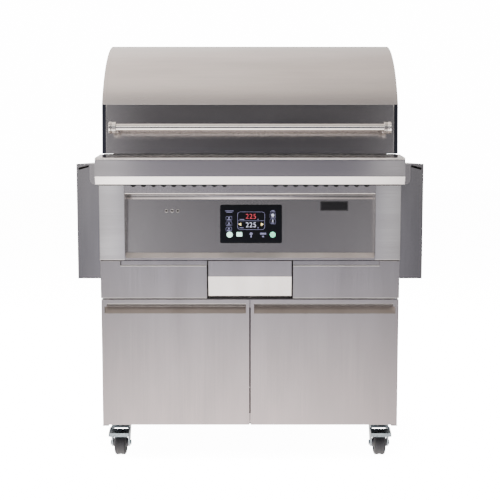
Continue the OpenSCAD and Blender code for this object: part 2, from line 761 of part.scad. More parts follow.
module brake_pedal() color(zinc) {
  difference() {
    both_sides() along_x(leg_out + 0.5, leg_out + 3) {
      translate([pedal_y, pedal_z]) circle(r = 6);
      polygon([[pedal_y, pedal_z - 6], [pedal_y, pedal_z + 6], [pedal_y - 38, pedal_z - 3],
        [pedal_y - 42, pedal_z - 12]]);
    }
    rod_x(-leg_out - 4, leg_out + 4, pedal_y, pedal_z, 3 + run);
  }
  along_x(-leg_out - 0.5, leg_out + 0.5) polygon([[pedal_y - 9, pedal_z + 4], [pedal_y - 38, pedal_z - 3],
    [pedal_y - 43, pedal_z - 13], [pedal_y - 40, pedal_z - 14], [pedal_y - 36, pedal_z - 5.5],
    [pedal_y - 9, pedal_z + 1]]);
}

// Puts a caster piece at a corner: sx and sy are -1 or 1, and a rear caster trails backwards
module at_corner(sx, sy) {
  translate([sx * caster_x, sy * caster_y, 0]) mirror([0, sy > 0 ? 1 : 0, 0]) children();
}

cart_base();
cart_sides();
cart_back_panel();
cart_front_frame();
cart_front_panel();
door_catches();
door_hinge_pins();
drawer_runners();
caster_plates();
head_shell();
head_rear_panel();
head_pilasters();
control_frame();
control_panel();
display_glass();
controller_box();
badge_plate();
probe_jacks();
hopper();
firebox();
cooking_grates();
warming_rack();
heat_diffuser();
drip_tray();
fire_pot();
igniter_rod();
auger_tube();
auger_motor();
fan_housing();
temperature_probe();
power_inlet();
exhaust_duct();
hood_hinge_brackets();
shelf_brackets();
hood_shell();
hood_end_caps();
hood_knuckles();
handle_tube();
handle_posts();
hopper_lid();
left_door();
left_door_liner();
right_door();
right_door_liner();
drawer_front();
drawer_tray();
left_shelf();
right_shelf();
auger_screw();
fan_impeller();
at_corner(-1, -1) caster_fork(true);  // caster_fork_front_left
at_corner(1, -1) caster_fork(true);  // caster_fork_front_right
at_corner(-1, 1) caster_fork(false);  // caster_fork_rear_left
at_corner(1, 1) caster_fork(false);  // caster_fork_rear_right
at_corner(-1, -1) wheel();  // wheel_front_left
at_corner(1, -1) wheel();  // wheel_front_right
at_corner(-1, 1) wheel();  // wheel_rear_left
at_corner(1, 1) wheel();  // wheel_rear_right
at_corner(-1, -1) brake_pedal();  // brake_pedal_left
at_corner(1, -1) brake_pedal();  // brake_pedal_right
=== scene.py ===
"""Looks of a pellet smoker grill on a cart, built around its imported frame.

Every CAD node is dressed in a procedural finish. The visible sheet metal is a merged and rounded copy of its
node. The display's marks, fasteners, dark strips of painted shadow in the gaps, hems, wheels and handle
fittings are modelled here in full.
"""

import json
import logging
import math
from dataclasses import dataclass, field
from enum import Enum
from typing import Sequence

import bmesh
import bpy
from mathutils import Matrix, Vector


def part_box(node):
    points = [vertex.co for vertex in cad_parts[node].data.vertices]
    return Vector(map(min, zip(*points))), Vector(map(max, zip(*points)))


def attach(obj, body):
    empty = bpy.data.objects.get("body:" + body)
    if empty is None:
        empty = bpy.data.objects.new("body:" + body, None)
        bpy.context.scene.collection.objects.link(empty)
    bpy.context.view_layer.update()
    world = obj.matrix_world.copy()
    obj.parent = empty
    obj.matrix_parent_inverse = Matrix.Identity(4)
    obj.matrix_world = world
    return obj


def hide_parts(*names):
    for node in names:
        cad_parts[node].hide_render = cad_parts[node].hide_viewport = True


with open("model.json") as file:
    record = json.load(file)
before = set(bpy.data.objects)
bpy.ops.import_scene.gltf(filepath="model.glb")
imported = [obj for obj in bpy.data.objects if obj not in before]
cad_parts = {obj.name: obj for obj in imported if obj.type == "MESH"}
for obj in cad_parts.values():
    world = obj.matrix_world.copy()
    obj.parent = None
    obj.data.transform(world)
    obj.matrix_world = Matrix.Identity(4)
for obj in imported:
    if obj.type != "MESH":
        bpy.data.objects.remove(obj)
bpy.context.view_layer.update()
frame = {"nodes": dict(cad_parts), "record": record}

log = logging.getLogger("grill")
MM = 0.001
FULL_TURN = math.tau


# ---------------------------------------------------------------- nodes and colours


def linear(code: str) -> tuple[float, float, float, float]:
    """Turns an sRGB hex colour into linear light.

    Args:
        code: Six hex digits, with or without a leading hash.

    Returns:
        Red, green, blue and alpha.
    """
    digits = code.lstrip("#")
    parts = [int(digits[i : i + 2], 16) / 255 for i in (0, 2, 4)]
    red, green, blue = (p / 12.92 if p <= 0.04045 else ((p + 0.055) / 1.055) ** 2.4 for p in parts)
    return red, green, blue, 1.0


def add_node(tree: bpy.types.NodeTree, kind: str, settings: dict | None = None,
             **inputs: object) -> bpy.types.Node:
    """Adds a shader node.

    Args:
        tree: The node tree.
        kind: Blender's name of the node type.
        settings: Attributes of the node.
        **inputs: Values or output sockets by input name, with underscores for spaces. A name such as i1 means
            the input of that number.

    Returns:
        The new node.
    """
    made = tree.nodes.new(kind)
    for name, value in (settings or {}).items():
        setattr(made, name, value)
    for name, value in inputs.items():
        by_number = name[0] == "i" and name[1:].isdigit()
        socket = made.inputs[int(name[1:])] if by_number else made.inputs[name.replace("_", " ")]
        if isinstance(value, bpy.types.NodeSocket):
            tree.links.new(value, socket)
        else:
            socket.default_value = value
    return made


def start_material(name: str) -> tuple[bpy.types.Material, bpy.types.NodeTree, bpy.types.NodeSocket]:
    """Starts a material that holds nothing but its place on the piece.

    Args:
        name: The material's name.

    Returns:
        The material, its node tree, and the Object coordinates that its patterns are laid out in.
    """
    material = bpy.data.materials.new(name)
    material.use_nodes = True
    tree = material.node_tree
    tree.nodes.clear()
    return material, tree, add_node(tree, "ShaderNodeTexCoord").outputs["Object"]


class Slot(Enum):
    """The record's material slots."""

    PANEL = "brushed_panel"
    MILL = "mill_steel"
    POLISHED = "polished_steel"
    GRATE = "grate_steel"
    ZINC = "zinc_plate"
    RUBBER = "wheel_rubber"
    GLASS = "display_glass"
    PLASTIC = "black_plastic"
    ENAMEL = "black_enamel"


class Grain(Enum):
    """Which way the scratches of a ground sheet run, as a direction. None is square to a flat face."""

    LEVEL = (1.0, 0.02, 0.0)
    UPRIGHT = (0.03, 0.05, 1.0)
    DEEP = (0.02, 1.0, 0.03)


# ---------------------------------------------------------------- finishes


@dataclass(frozen=True)
class BrushedSteel:
    """Stainless sheet ground with a belt: fine parallel scratches that blur reflections across them."""

    name: str
    slot: Slot
    tone: str = "D2CECC"
    dull: str = "C2BEBD"
    roughness: float = 0.2
    anisotropy: float = 0.7
    grain: Grain = Grain.UPRIGHT
    grain_mm: float = 2.4
    grain_length_mm: float = 420.0
    scratch_height_mm: float = 0.004
    # Clouding of the grind, in patches a metre along the scratches and across them
    cloud_along: float = 3.0
    cloud_across: float = 14.0
    # How far the clouding moves the roughness either way
    uneven: float = 0.03

    def build(self) -> bpy.types.Material:
        """Makes the material. The grain is drawn coarser than the real 0.1 mm, so that it shows.

        Returns:
            The material.
        """
        material, tree, place = start_material(self.name)
        fine, long = 1000 / self.grain_mm, 1000 / self.grain_length_mm
        scale = [long if part > 0.5 else fine for part in self.grain.value]
        grain_place = add_node(tree, "ShaderNodeMapping", Vector=place, Scale=scale)
        grain = add_node(tree, "ShaderNodeTexNoise", Vector=grain_place.outputs[0], Scale=1.0, Detail=3.0,
                         Roughness=0.6)
        cloud_scale = [self.cloud_along if part > 0.5 else self.cloud_across for part in self.grain.value]
        cloud_place = add_node(tree, "ShaderNodeMapping", Vector=place, Scale=cloud_scale)
        cloud = add_node(tree, "ShaderNodeTexNoise", Vector=cloud_place.outputs[0], Scale=1.0, Detail=4.0)
        blend = add_node(tree, "ShaderNodeMath", {"operation": "MULTIPLY_ADD"}, i0=grain.outputs[0], i1=0.5,
                         i2=cloud.outputs[0])
        worn = add_node(tree, "ShaderNodeMapRange", Value=blend.outputs[0], From_Min=0.45, From_Max=1.05)
        colour = add_node(tree, "ShaderNodeMix", {"data_type": "RGBA"}, i0=worn.outputs[0],
                          i6=linear(self.dull), i7=linear(self.tone))
        rough = add_node(tree, "ShaderNodeMapRange", Value=blend.outputs[0], From_Min=0.4, From_Max=1.1,
                         To_Min=self.roughness + self.uneven, To_Max=self.roughness - self.uneven)
        bump = add_node(tree, "ShaderNodeBump", Strength=0.5, Distance=self.scratch_height_mm * MM,
                        Height=grain.outputs[0])
        normal = add_node(tree, "ShaderNodeNewGeometry").outputs["Normal"]
        across = add_node(tree, "ShaderNodeVectorMath", {"operation": "CROSS_PRODUCT"}, i0=self.grain.value,
                          i1=normal)
        shader = add_node(tree, "ShaderNodeBsdfPrincipled", Base_Color=colour.outputs[2], Metallic=1.0,
                          Roughness=rough.outputs[0], Anisotropic=self.anisotropy, Normal=bump.outputs[0],
                          Tangent=across.outputs[0])
        add_node(tree, "ShaderNodeOutputMaterial", Surface=shader.outputs[0])
        return material


@dataclass(frozen=True)
class PlainMetal:
    """Polished or plated metal: an even tone with faint clouding in its gloss."""

    name: str
    slot: Slot
    tone: str
    dull: str
    roughness: float
    cloud_mm: float = 18.0
    spangle: float = 0.08

    def build(self) -> bpy.types.Material:
        """Makes the material.

        Returns:
            The material.
        """
        material, tree, place = start_material(self.name)
        cloud = add_node(tree, "ShaderNodeTexNoise", Vector=place, Scale=1000 / self.cloud_mm, Detail=5.0)
        colour = add_node(tree, "ShaderNodeMix", {"data_type": "RGBA"}, i0=cloud.outputs[0],
                          i6=linear(self.dull), i7=linear(self.tone))
        rough = add_node(tree, "ShaderNodeMapRange", Value=cloud.outputs[0], From_Min=0.3, From_Max=0.7,
                         To_Min=self.roughness + self.spangle, To_Max=self.roughness)
        fine = add_node(tree, "ShaderNodeTexNoise", Vector=place, Scale=900.0, Detail=2.0)
        bump = add_node(tree, "ShaderNodeBump", Strength=0.25, Distance=0.02 * MM, Height=fine.outputs[0])
        shader = add_node(tree, "ShaderNodeBsdfPrincipled", Base_Color=colour.outputs[2], Metallic=1.0,
                          Roughness=rough.outputs[0], Normal=bump.outputs[0])
        add_node(tree, "ShaderNodeOutputMaterial", Surface=shader.outputs[0])
        return material


@dataclass(frozen=True)
class Moulded:
    """Moulded rubber or plastic, or a sprayed coat: a dielectric with a fine skin texture."""

    name: str
    slot: Slot
    tone: str
    dull: str
    roughness: float
    ior: float = 1.5
    texture_mm: float = 0.8
    texture_height_mm: float = 0.05
    coat: float = 0.0

    def build(self) -> bpy.types.Material:
        """Makes the material.

        Returns:
            The material.
        """
        material, tree, place = start_material(self.name)
        cloud = add_node(tree, "ShaderNodeTexNoise", Vector=place, Scale=40.0, Detail=4.0)
        colour = add_node(tree, "ShaderNodeMix", {"data_type": "RGBA"}, i0=cloud.outputs[0],
                          i6=linear(self.dull), i7=linear(self.tone))
        rough = add_node(tree, "ShaderNodeMapRange", Value=cloud.outputs[0], From_Min=0.3, From_Max=0.7,
                         To_Min=self.roughness + 0.06, To_Max=self.roughness)
        skin = add_node(tree, "ShaderNodeTexNoise", Vector=place, Scale=1000 / self.texture_mm, Detail=2.0)
        bump = add_node(tree, "ShaderNodeBump", Strength=0.4, Distance=self.texture_height_mm * MM,
                        Height=skin.outputs[0])
        shader = add_node(tree, "ShaderNodeBsdfPrincipled", Base_Color=colour.outputs[2], IOR=self.ior,
                          Roughness=rough.outputs[0], Normal=bump.outputs[0], Coat_Weight=self.coat)
        add_node(tree, "ShaderNodeOutputMaterial", Surface=shader.outputs[0])
        return material


@dataclass(frozen=True)
class LitMark:
    """A mark that shines through the display's glass: printed ink with a light behind it."""

    name: str
    slot: Slot
    tone: str
    strength: float

    def build(self) -> bpy.types.Material:
        """Makes the material. A faint unevenness keeps the light from looking painted on.

        Returns:
            The material.
        """
        material, tree, place = start_material(self.name)
        uneven = add_node(tree, "ShaderNodeTexNoise", Vector=place, Scale=300.0, Detail=1.0)
        colour = add_node(tree, "ShaderNodeMix", {"data_type": "RGBA"}, i0=uneven.outputs[0],
                          i6=[c * 0.8 for c in linear(self.tone)], i7=linear(self.tone))
        shader = add_node(tree, "ShaderNodeBsdfPrincipled", Base_Color=colour.outputs[2], Roughness=0.3,
                          Emission_Color=colour.outputs[2], Emission_Strength=self.strength)
        add_node(tree, "ShaderNodeOutputMaterial", Surface=shader.outputs[0])
        return material


class Finish(Enum):
    """Every finish on the grill."""

    # Belt-ground sheet with upright scratches: reflections go soft sideways and stay crisp up and down
    DOOR = BrushedSteel("steel_door", Slot.PANEL, tone="D4CFCD", dull="CBC7C5")
    FRONT = BrushedSteel("steel_front", Slot.PANEL)
    # Hood and ledge, ground the long way: reflections go soft up and down and stay crisp sideways
    HOOD = BrushedSteel("steel_hood", Slot.PANEL, roughness=0.15, grain=Grain.LEVEL)
    LEDGE = BrushedSteel("steel_ledge", Slot.PANEL, roughness=0.15, grain=Grain.LEVEL)
    # The recessed panel keeps the front's upright grain, out of the weather
    PANEL = BrushedSteel("steel_panel", Slot.PANEL)
    # Thinner sheet that has dulled outdoors: the same grain with less shine
    SHELF = BrushedSteel("steel_shelf", Slot.PANEL, tone="A8A5A6", dull="989697", roughness=0.14)
    # Sheet with level scratches: it keeps the bright edge of what stands beside it
    PILASTER = BrushedSteel("steel_pilaster", Slot.PANEL, tone="DAD7D5", dull="CCC9C7", roughness=0.12,
                            grain=Grain.LEVEL)
    # Lower slope of a pressed groove, its colour darkened: painted shade
    LOWER_SLOPE_PAINTED_SHADE = BrushedSteel("steel_lower_slope_painted_shade", Slot.PANEL, tone="8E8884", dull="807A76", roughness=0.3)
    # Sill, and the groove's upper slope, where the grinding was crossed: no clear image left in them. The upper
    # slope's colour is also lightened: painted light
    SILL = BrushedSteel("steel_sill", Slot.PANEL, roughness=0.5, anisotropy=0.1)
    UPPER_SLOPE_PAINTED_LIGHT = BrushedSteel("steel_upper_slope_painted_light", Slot.PANEL, tone="E6E3E1", dull="D9D6D4", roughness=0.5,
                              anisotropy=0.1, scratch_height_mm=0.001)
    # Bead-blasted stainless: no mirror image, an even pale sheen
    SATIN = PlainMetal("steel_satin", Slot.POLISHED, tone="E2E0DE", dull="D4D2D0", roughness=0.4)
    # Stainless coloured blue-black: painted dark reflection on the end caps' front below the crease
    PAINTED_DARK_REFLECTION = BrushedSteel("steel_painted_dark_reflection", Slot.PANEL, tone="5E606C", dull="44464F", roughness=0.16,
                          grain=Grain.LEVEL)
    # Plain mill sheet of the hidden cart body and firebox: duller and without a clear grain
    MILL = BrushedSteel("steel_mill", Slot.MILL, tone="A8A5A4", dull="8F8C8B", roughness=0.4, anisotropy=0.3)
    # Mirror-turned tube and collars: hard bright bands and a dark line between them
    POLISHED = PlainMetal("steel_polished", Slot.POLISHED, tone="DAD6D2", dull="CCC8C4", roughness=0.1,
                          spangle=0.04)
    # Stainless plate that has been over a fire: warm straw tint and dull patches
    GRATE = PlainMetal("steel_grate", Slot.GRATE, tone="B5ADA5", dull="8E857C", roughness=0.34)
    # Bright zinc plate: cool blue-white with a faint spangle
    ZINC = PlainMetal("zinc", Slot.ZINC, tone="AAB4B9", dull="828D93", roughness=0.22, cloud_mm=7.0)
    # Stainless screw heads: small dull domes that catch one highlight
    SCREW = PlainMetal("steel_screw", Slot.POLISHED, tone="B8B5B2", dull="A19E9B", roughness=0.2)
    # Moulded rubber tread: dark grey and matt, with a fine grained skin
    TYRE = Moulded("rubber_tyre", Slot.RUBBER, tone="3C3C3F", dull="303033", roughness=0.5, ior=1.52)
    # Glass-filled nylon: a paler grey with a soft sheen
    HUB = Moulded("nylon_hub", Slot.RUBBER, tone="6E6F73", dull="5C5D61", roughness=0.42)
    # Toughened glass with black print behind it: near-black with sharp reflections
    GLASS = Moulded("glass_black", Slot.GLASS, tone="07080B", dull="050609", roughness=0.06, ior=1.52,
                    texture_height_mm=0.001, coat=0.4)
    # Moulded ABS housings: black with a spark-eroded matt skin
    PLASTIC = Moulded("plastic_black", Slot.PLASTIC, tone="1A1A1C", dull="141416", roughness=0.45)
    # Stoved enamel on the badge: black under a thin gloss
    ENAMEL = Moulded("enamel_black", Slot.ENAMEL, tone="131314", dull="0E0E0F", roughness=0.28, coat=0.3)
    # Dark matt rubber strip: painted shadow put into gaps, so that a gap reads as dark
    SHADOW_STRIP = Moulded("rubber_shadow_strip", Slot.PLASTIC, tone="1C1A1B", dull="151314", roughness=0.6)
    # Printed marks with small lamps behind them: cool white, a dim violet grey, red, amber and two greens
    LIT_WHITE = LitMark("lit_white", Slot.GLASS, tone="B4B7CA", strength=0.42)
    LIT_DIM = LitMark("lit_dim", Slot.GLASS, tone="686884", strength=0.25)
    LIT_RED = LitMark("lit_red", Slot.GLASS, tone="B03A44", strength=0.5)
    LIT_AMBER = LitMark("lit_amber", Slot.GLASS, tone="FFE9A0", strength=1.1)
    LIT_MINT = LitMark("lit_mint", Slot.GLASS, tone="BDEEDC", strength=1.1)
    LIT_GREEN = LitMark("lit_green", Slot.GLASS, tone="70D0A8", strength=0.8)


MATERIALS: dict[Finish, bpy.types.Material] = {}


def material_of(finish: Finish) -> bpy.types.Material:
    """Returns a finish's material, made once.

    Args:
        finish: The finish.

    Returns:
        Its material.
    """
    if finish not in MATERIALS:
        MATERIALS[finish] = finish.value.build()
    return MATERIALS[finish]


# ---------------------------------------------------------------- meshes


def publish(bm: bmesh.types.BMesh, name: str, body: str, finishes: Sequence[Finish],
            replaces: Sequence[str] = (), smooth_deg: float = 35.0) -> bpy.types.Object:
    """Turns a bmesh into a dressed piece that rides on a body.

    Args:
        bm: The mesh, in metres in the frame. It is freed.
        name: The piece's name.
        body: The CAD body that it rides on.
        finishes: Its finishes, in the order of its material indices.
        replaces: CAD nodes that it stands for.
        smooth_deg: Edges sharper than this stay hard.

    Returns:
        The new object.
    """
    mesh = bpy.data.meshes.new(name)
    for face in bm.faces:
        face.smooth = True
    bm.to_mesh(mesh)
    bm.free()
    mesh.set_sharp_from_angle(angle=math.radians(smooth_deg))
    piece = bpy.data.objects.new(name, mesh)
    bpy.context.scene.collection.objects.link(piece)
    for finish in finishes:
        mesh.materials.append(material_of(finish))
    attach(piece, body)
    if replaces:
        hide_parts(*replaces)
    log.info("%s: %d faces on %s", name, len(mesh.polygons), body)
    return piece


def body_of_node(node: str) -> str:
    """Returns the name of the body that a CAD node belongs to."""
    return next(b for b, members in frame["record"]["behaviour"]["bodies"].items() if node in members)


def merged_copy(node: str) -> bmesh.types.BMesh:
    """Returns a CAD node's mesh with its loose triangles merged and its flat faces joined.

    Args:
        node: The CAD node.

    Returns:
        A new mesh, in metres in the frame.
    """
    bm = bmesh.new()
    bm.from_mesh(frame["nodes"][node].data)
    bmesh.ops.remove_doubles(bm, verts=bm.verts, dist=0.01 * MM)
    bmesh.ops.dissolve_limit(bm, angle_limit=math.radians(0.4), verts=bm.verts, edges=bm.edges)
    return bm


def rounded_copy(node: str, finish: Finish, round_mm: float = 0.8, angle_deg: float = 30.0,
                 segments: int = 2) -> bpy.types.Object:
    """Makes the visible piece of a sheet-metal node, with its edges rounded over.

    Args:
        node: The CAD node.
        finish: Its finish.
        round_mm: Width of the rounding.
        angle_deg: Edges that turn by more than this are rounded.
        segments: Steps across the rounding.

    Returns:
        The new object, which stands for the node.
    """
    bm = merged_copy(node)
    edges = [e for e in bm.edges if e.is_manifold and e.calc_face_angle(0.0) > math.radians(angle_deg)]
    bmesh.ops.bevel(bm, geom=edges, offset=round_mm * MM, offset_type="OFFSET", segments=segments,
                    profile=0.5, affect="EDGES", clamp_overlap=True, material=-1)
    piece = publish(bm, f"{node}_skin", body_of_node(node), [finish], [node], smooth_deg=60.0)
    weighted = piece.modifiers.new("even_shading", "WEIGHTED_NORMAL")
    weighted.keep_sharp = True
    return piece


def dress_node(node: str, finish: Finish) -> None:
    """Gives a CAD node that stays as it is its finish.

    Args:
        node: The CAD node.
        finish: Its finish.
    """
    piece = frame["nodes"][node]
    piece.data.materials.clear()
    piece.data.materials.append(material_of(finish))
    log.info("%s: dressed in %s", node, finish.value.name)


def turned(bm: bmesh.types.BMesh, section: Sequence[tuple[float, float]], steps: int,
           place: Matrix, material: int = 0) -> None:
    """Spins a section into a turned part.

    Args:
        bm: The mesh to add to.
        section: Pairs of distance along the axis and radius, in metres.
        steps: Steps of the full turn.
        place: Puts the part, turned about X, in the frame.
        material: Material index of its faces.
    """
    part = bmesh.new()
    verts = [part.verts.new((along, 0.0, radius)) for along, radius in section]
    edges = [part.edges.new((a, b)) for a, b in zip(verts, verts[1:])]
    bmesh.ops.spin(part, geom=verts + edges, cent=(0, 0, 0), axis=(1, 0, 0), angle=FULL_TURN, steps=steps,
                   use_merge=True)
    bmesh.ops.remove_doubles(part, verts=part.verts, dist=1e-6)
    bmesh.ops.recalc_face_normals(part, faces=part.faces)
    join(bm, part, place, material)


def join(bm: bmesh.types.BMesh, part: bmesh.types.BMesh, place: Matrix, material: int = 0) -> None:
    """Adds one bmesh to another in its place, and frees it.

    Args:
        bm: The mesh to add to.
        part: The mesh that is added and freed.
        place: Puts the part in the frame.
        material: Material index of its faces.
    """
    bmesh.ops.transform(part, matrix=place, verts=part.verts)
    for face in part.faces:
        face.material_index = material
    scratch = bpy.data.meshes.new("scratch")
    part.to_mesh(scratch)
    part.free()
    bm.from_mesh(scratch)
    bpy.data.meshes.remove(scratch)


def plate(bm: bmesh.types.BMesh, width: float, height: float, thick: float, corner: float, place: Matrix,
          material: int = 0, corner_steps: int = 4) -> None:
    """Adds a flat plate with round corners, lying in X and Z, its back at Y 0 and its face at minus thick.

    Args:
        bm: The mesh to add to.
        width: Size along X, in metres.
        height: Size along Z.
        thick: Thickness.
        corner: Radius of the corners.
        place: Puts the plate in the frame.
        material: Material index of its faces.
        corner_steps: Steps round each corner.
    """
    part = bmesh.new()
    bmesh.ops.create_grid(part, x_segments=1, y_segments=1, size=0.5)
    bmesh.ops.transform(part, matrix=Matrix.Rotation(math.radians(90), 4, "X") @ Matrix.Diagonal(
        (width, height, 1, 1)), verts=part.verts)
    if corner > 0:
        bmesh.ops.bevel(part, geom=part.verts[:], offset=corner, offset_type="OFFSET", segments=corner_steps,
                        profile=0.5, affect="VERTICES", material=-1)
    grown = bmesh.ops.extrude_face_region(part, geom=part.faces[:])
    moved = [v for v in grown["geom"] if isinstance(v, bmesh.types.BMVert)]
    bmesh.ops.translate(part, vec=(0, -thick, 0), verts=moved)
    bmesh.ops.recalc_face_normals(part, faces=part.faces)
    join(bm, part, place, material)


def outline(bm: bmesh.types.BMesh, width: float, height: float, thick: float, corner: float, line: float,
            place: Matrix) -> None:
    """Adds a round-cornered frame: a plate's face, inset by the width of the line, without its middle.

    Args:
        bm: The mesh to add to.
        width: Size along X, in metres.
        height: Size along Z.
        thick: Thickness.
        corner: Radius of the corners.
        line: Width of the line.
        place: Puts the frame in the object's frame.
    """
    part = bmesh.new()
    plate(part, width, height, thick, corner, Matrix.Identity(4), corner_steps=5)
    back = [f for f in part.faces if f.normal.y > 0.9]
    bmesh.ops.delete(part, geom=back, context="FACES")
    front = [f for f in part.faces if f.normal.y < -0.9]
    bmesh.ops.inset_region(part, faces=front, thickness=line, use_even_offset=True)
    bmesh.ops.delete(part, geom=front, context="FACES")
    join(bm, part, place)


def disc(bm: bmesh.types.BMesh, radius: float, thick: float, place: Matrix, material: int = 0,
         steps: int = 28, inner: float = 0.0) -> None:
    """Adds a disc or ring facing -Y, its back at Y 0.

    Args:
        bm: The mesh to add to.
        radius: Its radius, in metres.
        thick: Thickness.
        place: Puts the disc in the frame.
        material: Material index of its faces.
        steps: Steps of the full turn.
        inner: Radius of its hole, or 0 for none.
    """
    face_out = place @ Matrix.Rotation(math.radians(-90), 4, "Z")
    section = [(0.0, inner), (thick, inner), (thick, radius), (0.0, radius), (0.0, inner)]
    turned(bm, section, steps, face_out, material)


def block(bm: bmesh.types.BMesh, low: Vector, high: Vector, round_by: float, material: int = 0,
          place: Matrix = Matrix.Identity(4)) -> None:
    """Adds a bar between two corners, with its edges rounded.

    Args:
        bm: The mesh to add to.
        low: Its lowest corner, in metres.
        high: Its highest corner.
        round_by: Radius of its edges.
        material: Material index of its faces.
        place: Puts the bar in the frame.
    """
    part = bmesh.new()
    bmesh.ops.create_cube(part, size=1.0)
    bmesh.ops.transform(part, matrix=Matrix.Translation((low + high) / 2) @ Matrix.Diagonal(
        (*(high - low), 1.0)), verts=part.verts)
    if round_by > 0:
        bmesh.ops.bevel(part, geom=part.edges[:], offset=round_by, offset_type="OFFSET", segments=2,
                        profile=0.5, affect="EDGES", material=-1)
    join(bm, part, place, material)


def bead(bm: bmesh.types.BMesh, start: float, end: float, y: float, z: float, radius: float) -> None:
    """Adds a level rounded bead that runs along X.

    Args:
        bm: The mesh to add to.
        start: X of its left end, in metres.
        end: X of its right end.
        y: Y of its centre line.
        z: Z of its centre line.
        radius: Its radius.
    """
    tip = radius * 0.4
    turned(bm, [(start, 0.0), (start, radius - tip), (start + tip, radius), (end - tip, radius),
                (end, radius - tip), (end, 0.0)], 12, Matrix.Translation((0, y, z)))


def face_frame(node: str, towards: Vector) -> Matrix:
    """Finds the flat face of a CAD node that looks a given way.

    Args:
        node: The CAD node.
        towards: Roughly the face's outward normal.

    Returns:
        A matrix whose origin is the face's centre, whose -Y is its normal and whose X lies level.
    """
    mesh = frame["nodes"][node].data
    facing = [p for p in mesh.polygons if p.normal.dot(towards) > math.cos(math.radians(25)) * towards.length]
    area = sum(p.area for p in facing)
    normal = sum((p.normal * p.area for p in facing), Vector()).normalized()
    deepest = max(p.center.dot(normal) for p in facing)
    centre = sum((p.center * p.area for p in facing), Vector()) / area
    centre += normal * (deepest - centre.dot(normal))
    back = -normal
    across = back.cross(Vector((0, 0, 1))).normalized()
    up = across.cross(back)
    turn = Matrix((across, back, up)).transposed().to_4x4()
    return Matrix.Translation(centre) @ turn


def at(place: Matrix, x: float, z: float, out: float = 0.0) -> Matrix:
    """Moves a face frame by millimetres across, up and out of the face."""
    return place @ Matrix.Translation((x * MM, -out * MM, z * MM))


def screw_head(bm: bmesh.types.BMesh, place: Matrix, radius_mm: float = 3.6, material: int = 0) -> None:
    """Adds a domed screw head with a hex socket, facing -Y.

    Args:
        bm: The mesh to add to.
        place: Puts the head in the frame.
        radius_mm: Radius of the head.
        material: Material index of its faces.
    """
    r = radius_mm * MM
    socket = r * 0.42
    dome = [(-0.2 * r, socket), (0.55 * r, socket), (0.62 * r, 0.62 * r), (0.42 * r, 0.9 * r), (0.0, r)]
    turned(bm, dome, 16, place @ Matrix.Rotation(math.radians(-90), 4, "Z"), material)
    disc(bm, socket * 1.02, 0.1 * r, place, material, steps=6)


# ---------------------------------------------------------------- sub-assemblies


@dataclass
class Hood:
    """Rolled hood skin between two end caps, with its tube handle."""

    body: str = "hood"
    tube_steps: int = 48
    # Height and lean of the flat face below the crease
    flat_mm: float = 149.0
    lean_mm: float = 10.4
    # How far back the end caps carry the painted dark reflection
    painted_reflection_mm: float = 30.0
    # Half sizes of the bright bead beside each cap, and its distance from the skin's end
    bead_mm: tuple[float, float] = (0.9, 0.6)
    bead_inset_mm: float = 2.0
    # The handle's posts: radius, and how far their feet stand out and up
    post_mm: float = 10.0
    foot_mm: float = 4.0

    def build(self) -> None:
        """Builds the hood's skin, caps, hinge knuckles and handle."""
        rounded_copy("hood_shell", Finish.HOOD, round_mm=0.9, angle_deg=12)
        caps = rounded_copy("hood_end_caps", Finish.HOOD, round_mm=1.6, angle_deg=20, segments=3)
        self.paint_cap_feet_reflection(caps)
        rounded_copy("hood_knuckles", Finish.MILL, round_mm=0.6)
        self.handle()

    def paint_cap_feet_reflection(self, caps: bpy.types.Object) -> None:
        """Gives the end caps a painted dark reflection on their front below the crease, and a bright bead
        beside it.

        Args:
            caps: The visible piece of the end caps.
        """
        low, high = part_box("hood_shell")
        crease = low.z + self.flat_mm * MM
        # Painted dark reflection: the caps' front faces below the crease get the blue-black steel
        caps.data.materials.append(material_of(Finish.PAINTED_DARK_REFLECTION))
        for face in caps.data.polygons:
            if face.center.z < crease and face.center.y < low.y + self.painted_reflection_mm * MM and face.normal.y < -0.5:
                face.material_index = 1
        lean = math.atan(self.lean_mm / self.flat_mm)
        place = Matrix.Translation((0, low.y, low.z)) @ Matrix.Rotation(-lean, 4, "X")
        half_x, half_y = self.bead_mm
        inset = self.bead_inset_mm * MM
        bm = bmesh.new()
        for x in (low.x + inset, high.x - inset):
            block(bm, Vector((x - half_x * MM, -half_y * MM, inset)),
                  Vector((x + half_x * MM, half_y * MM, self.flat_mm * MM)), 0.3 * MM, place=place)
        publish(bm, "hood_edge_beads", self.body, [Finish.POLISHED])

    def handle(self) -> None:
        """Builds the handle tube, its grooved collars and the posts."""
        low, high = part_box("handle_tube")
        centre = (low + high) / 2
        radius = (high.z - low.z) / 2
        collar_low, collar_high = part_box("handle_posts")
        collar_r = (collar_high.z - collar_low.z) / 2
        length = collar_high.x - high.x
        lip, neck = 1.2 * MM, 0.8 * MM
        place = Matrix.Translation((0, centre.y, centre.z))
        tube = bmesh.new()
        turned(tube, [(low.x, radius), (high.x, radius)], self.tube_steps, place)
        publish(tube, "handle_tube_skin", self.body, [Finish.POLISHED], ["handle_tube"])
        posts = bmesh.new()
        for side in (-1, 1):
            turned(posts, [(side * x, r) for x, r in (
                (high.x, 0.0), (high.x, collar_r - lip), (high.x + lip, collar_r),
                (high.x + 0.36 * length, collar_r), (high.x + 0.36 * length + lip, collar_r - neck),
                (high.x + 0.64 * length - lip, collar_r - neck), (high.x + 0.64 * length, collar_r),
                (collar_high.x - lip, collar_r), (collar_high.x, collar_r - lip),
                (collar_high.x, 0.0))], self.tube_steps, place)
            middle = Matrix.Translation((side * (high.x + length / 2), 0, centre.z))
            post_r, foot = self.post_mm * MM, self.foot_mm * MM
            turned(posts, [(centre.y, 0.0), (centre.y, post_r), (collar_high.y - foot - 1 * MM, post_r),
                           (collar_high.y - foot, post_r + foot), (collar_high.y, post_r + foot),
                           (collar_high.y, 0.0)], 32, middle @ Matrix.Rotation(math.radians(90), 4, "Z"))
        publish(posts, "handle_posts_skin", self.body, [Finish.POLISHED], ["handle_posts"])


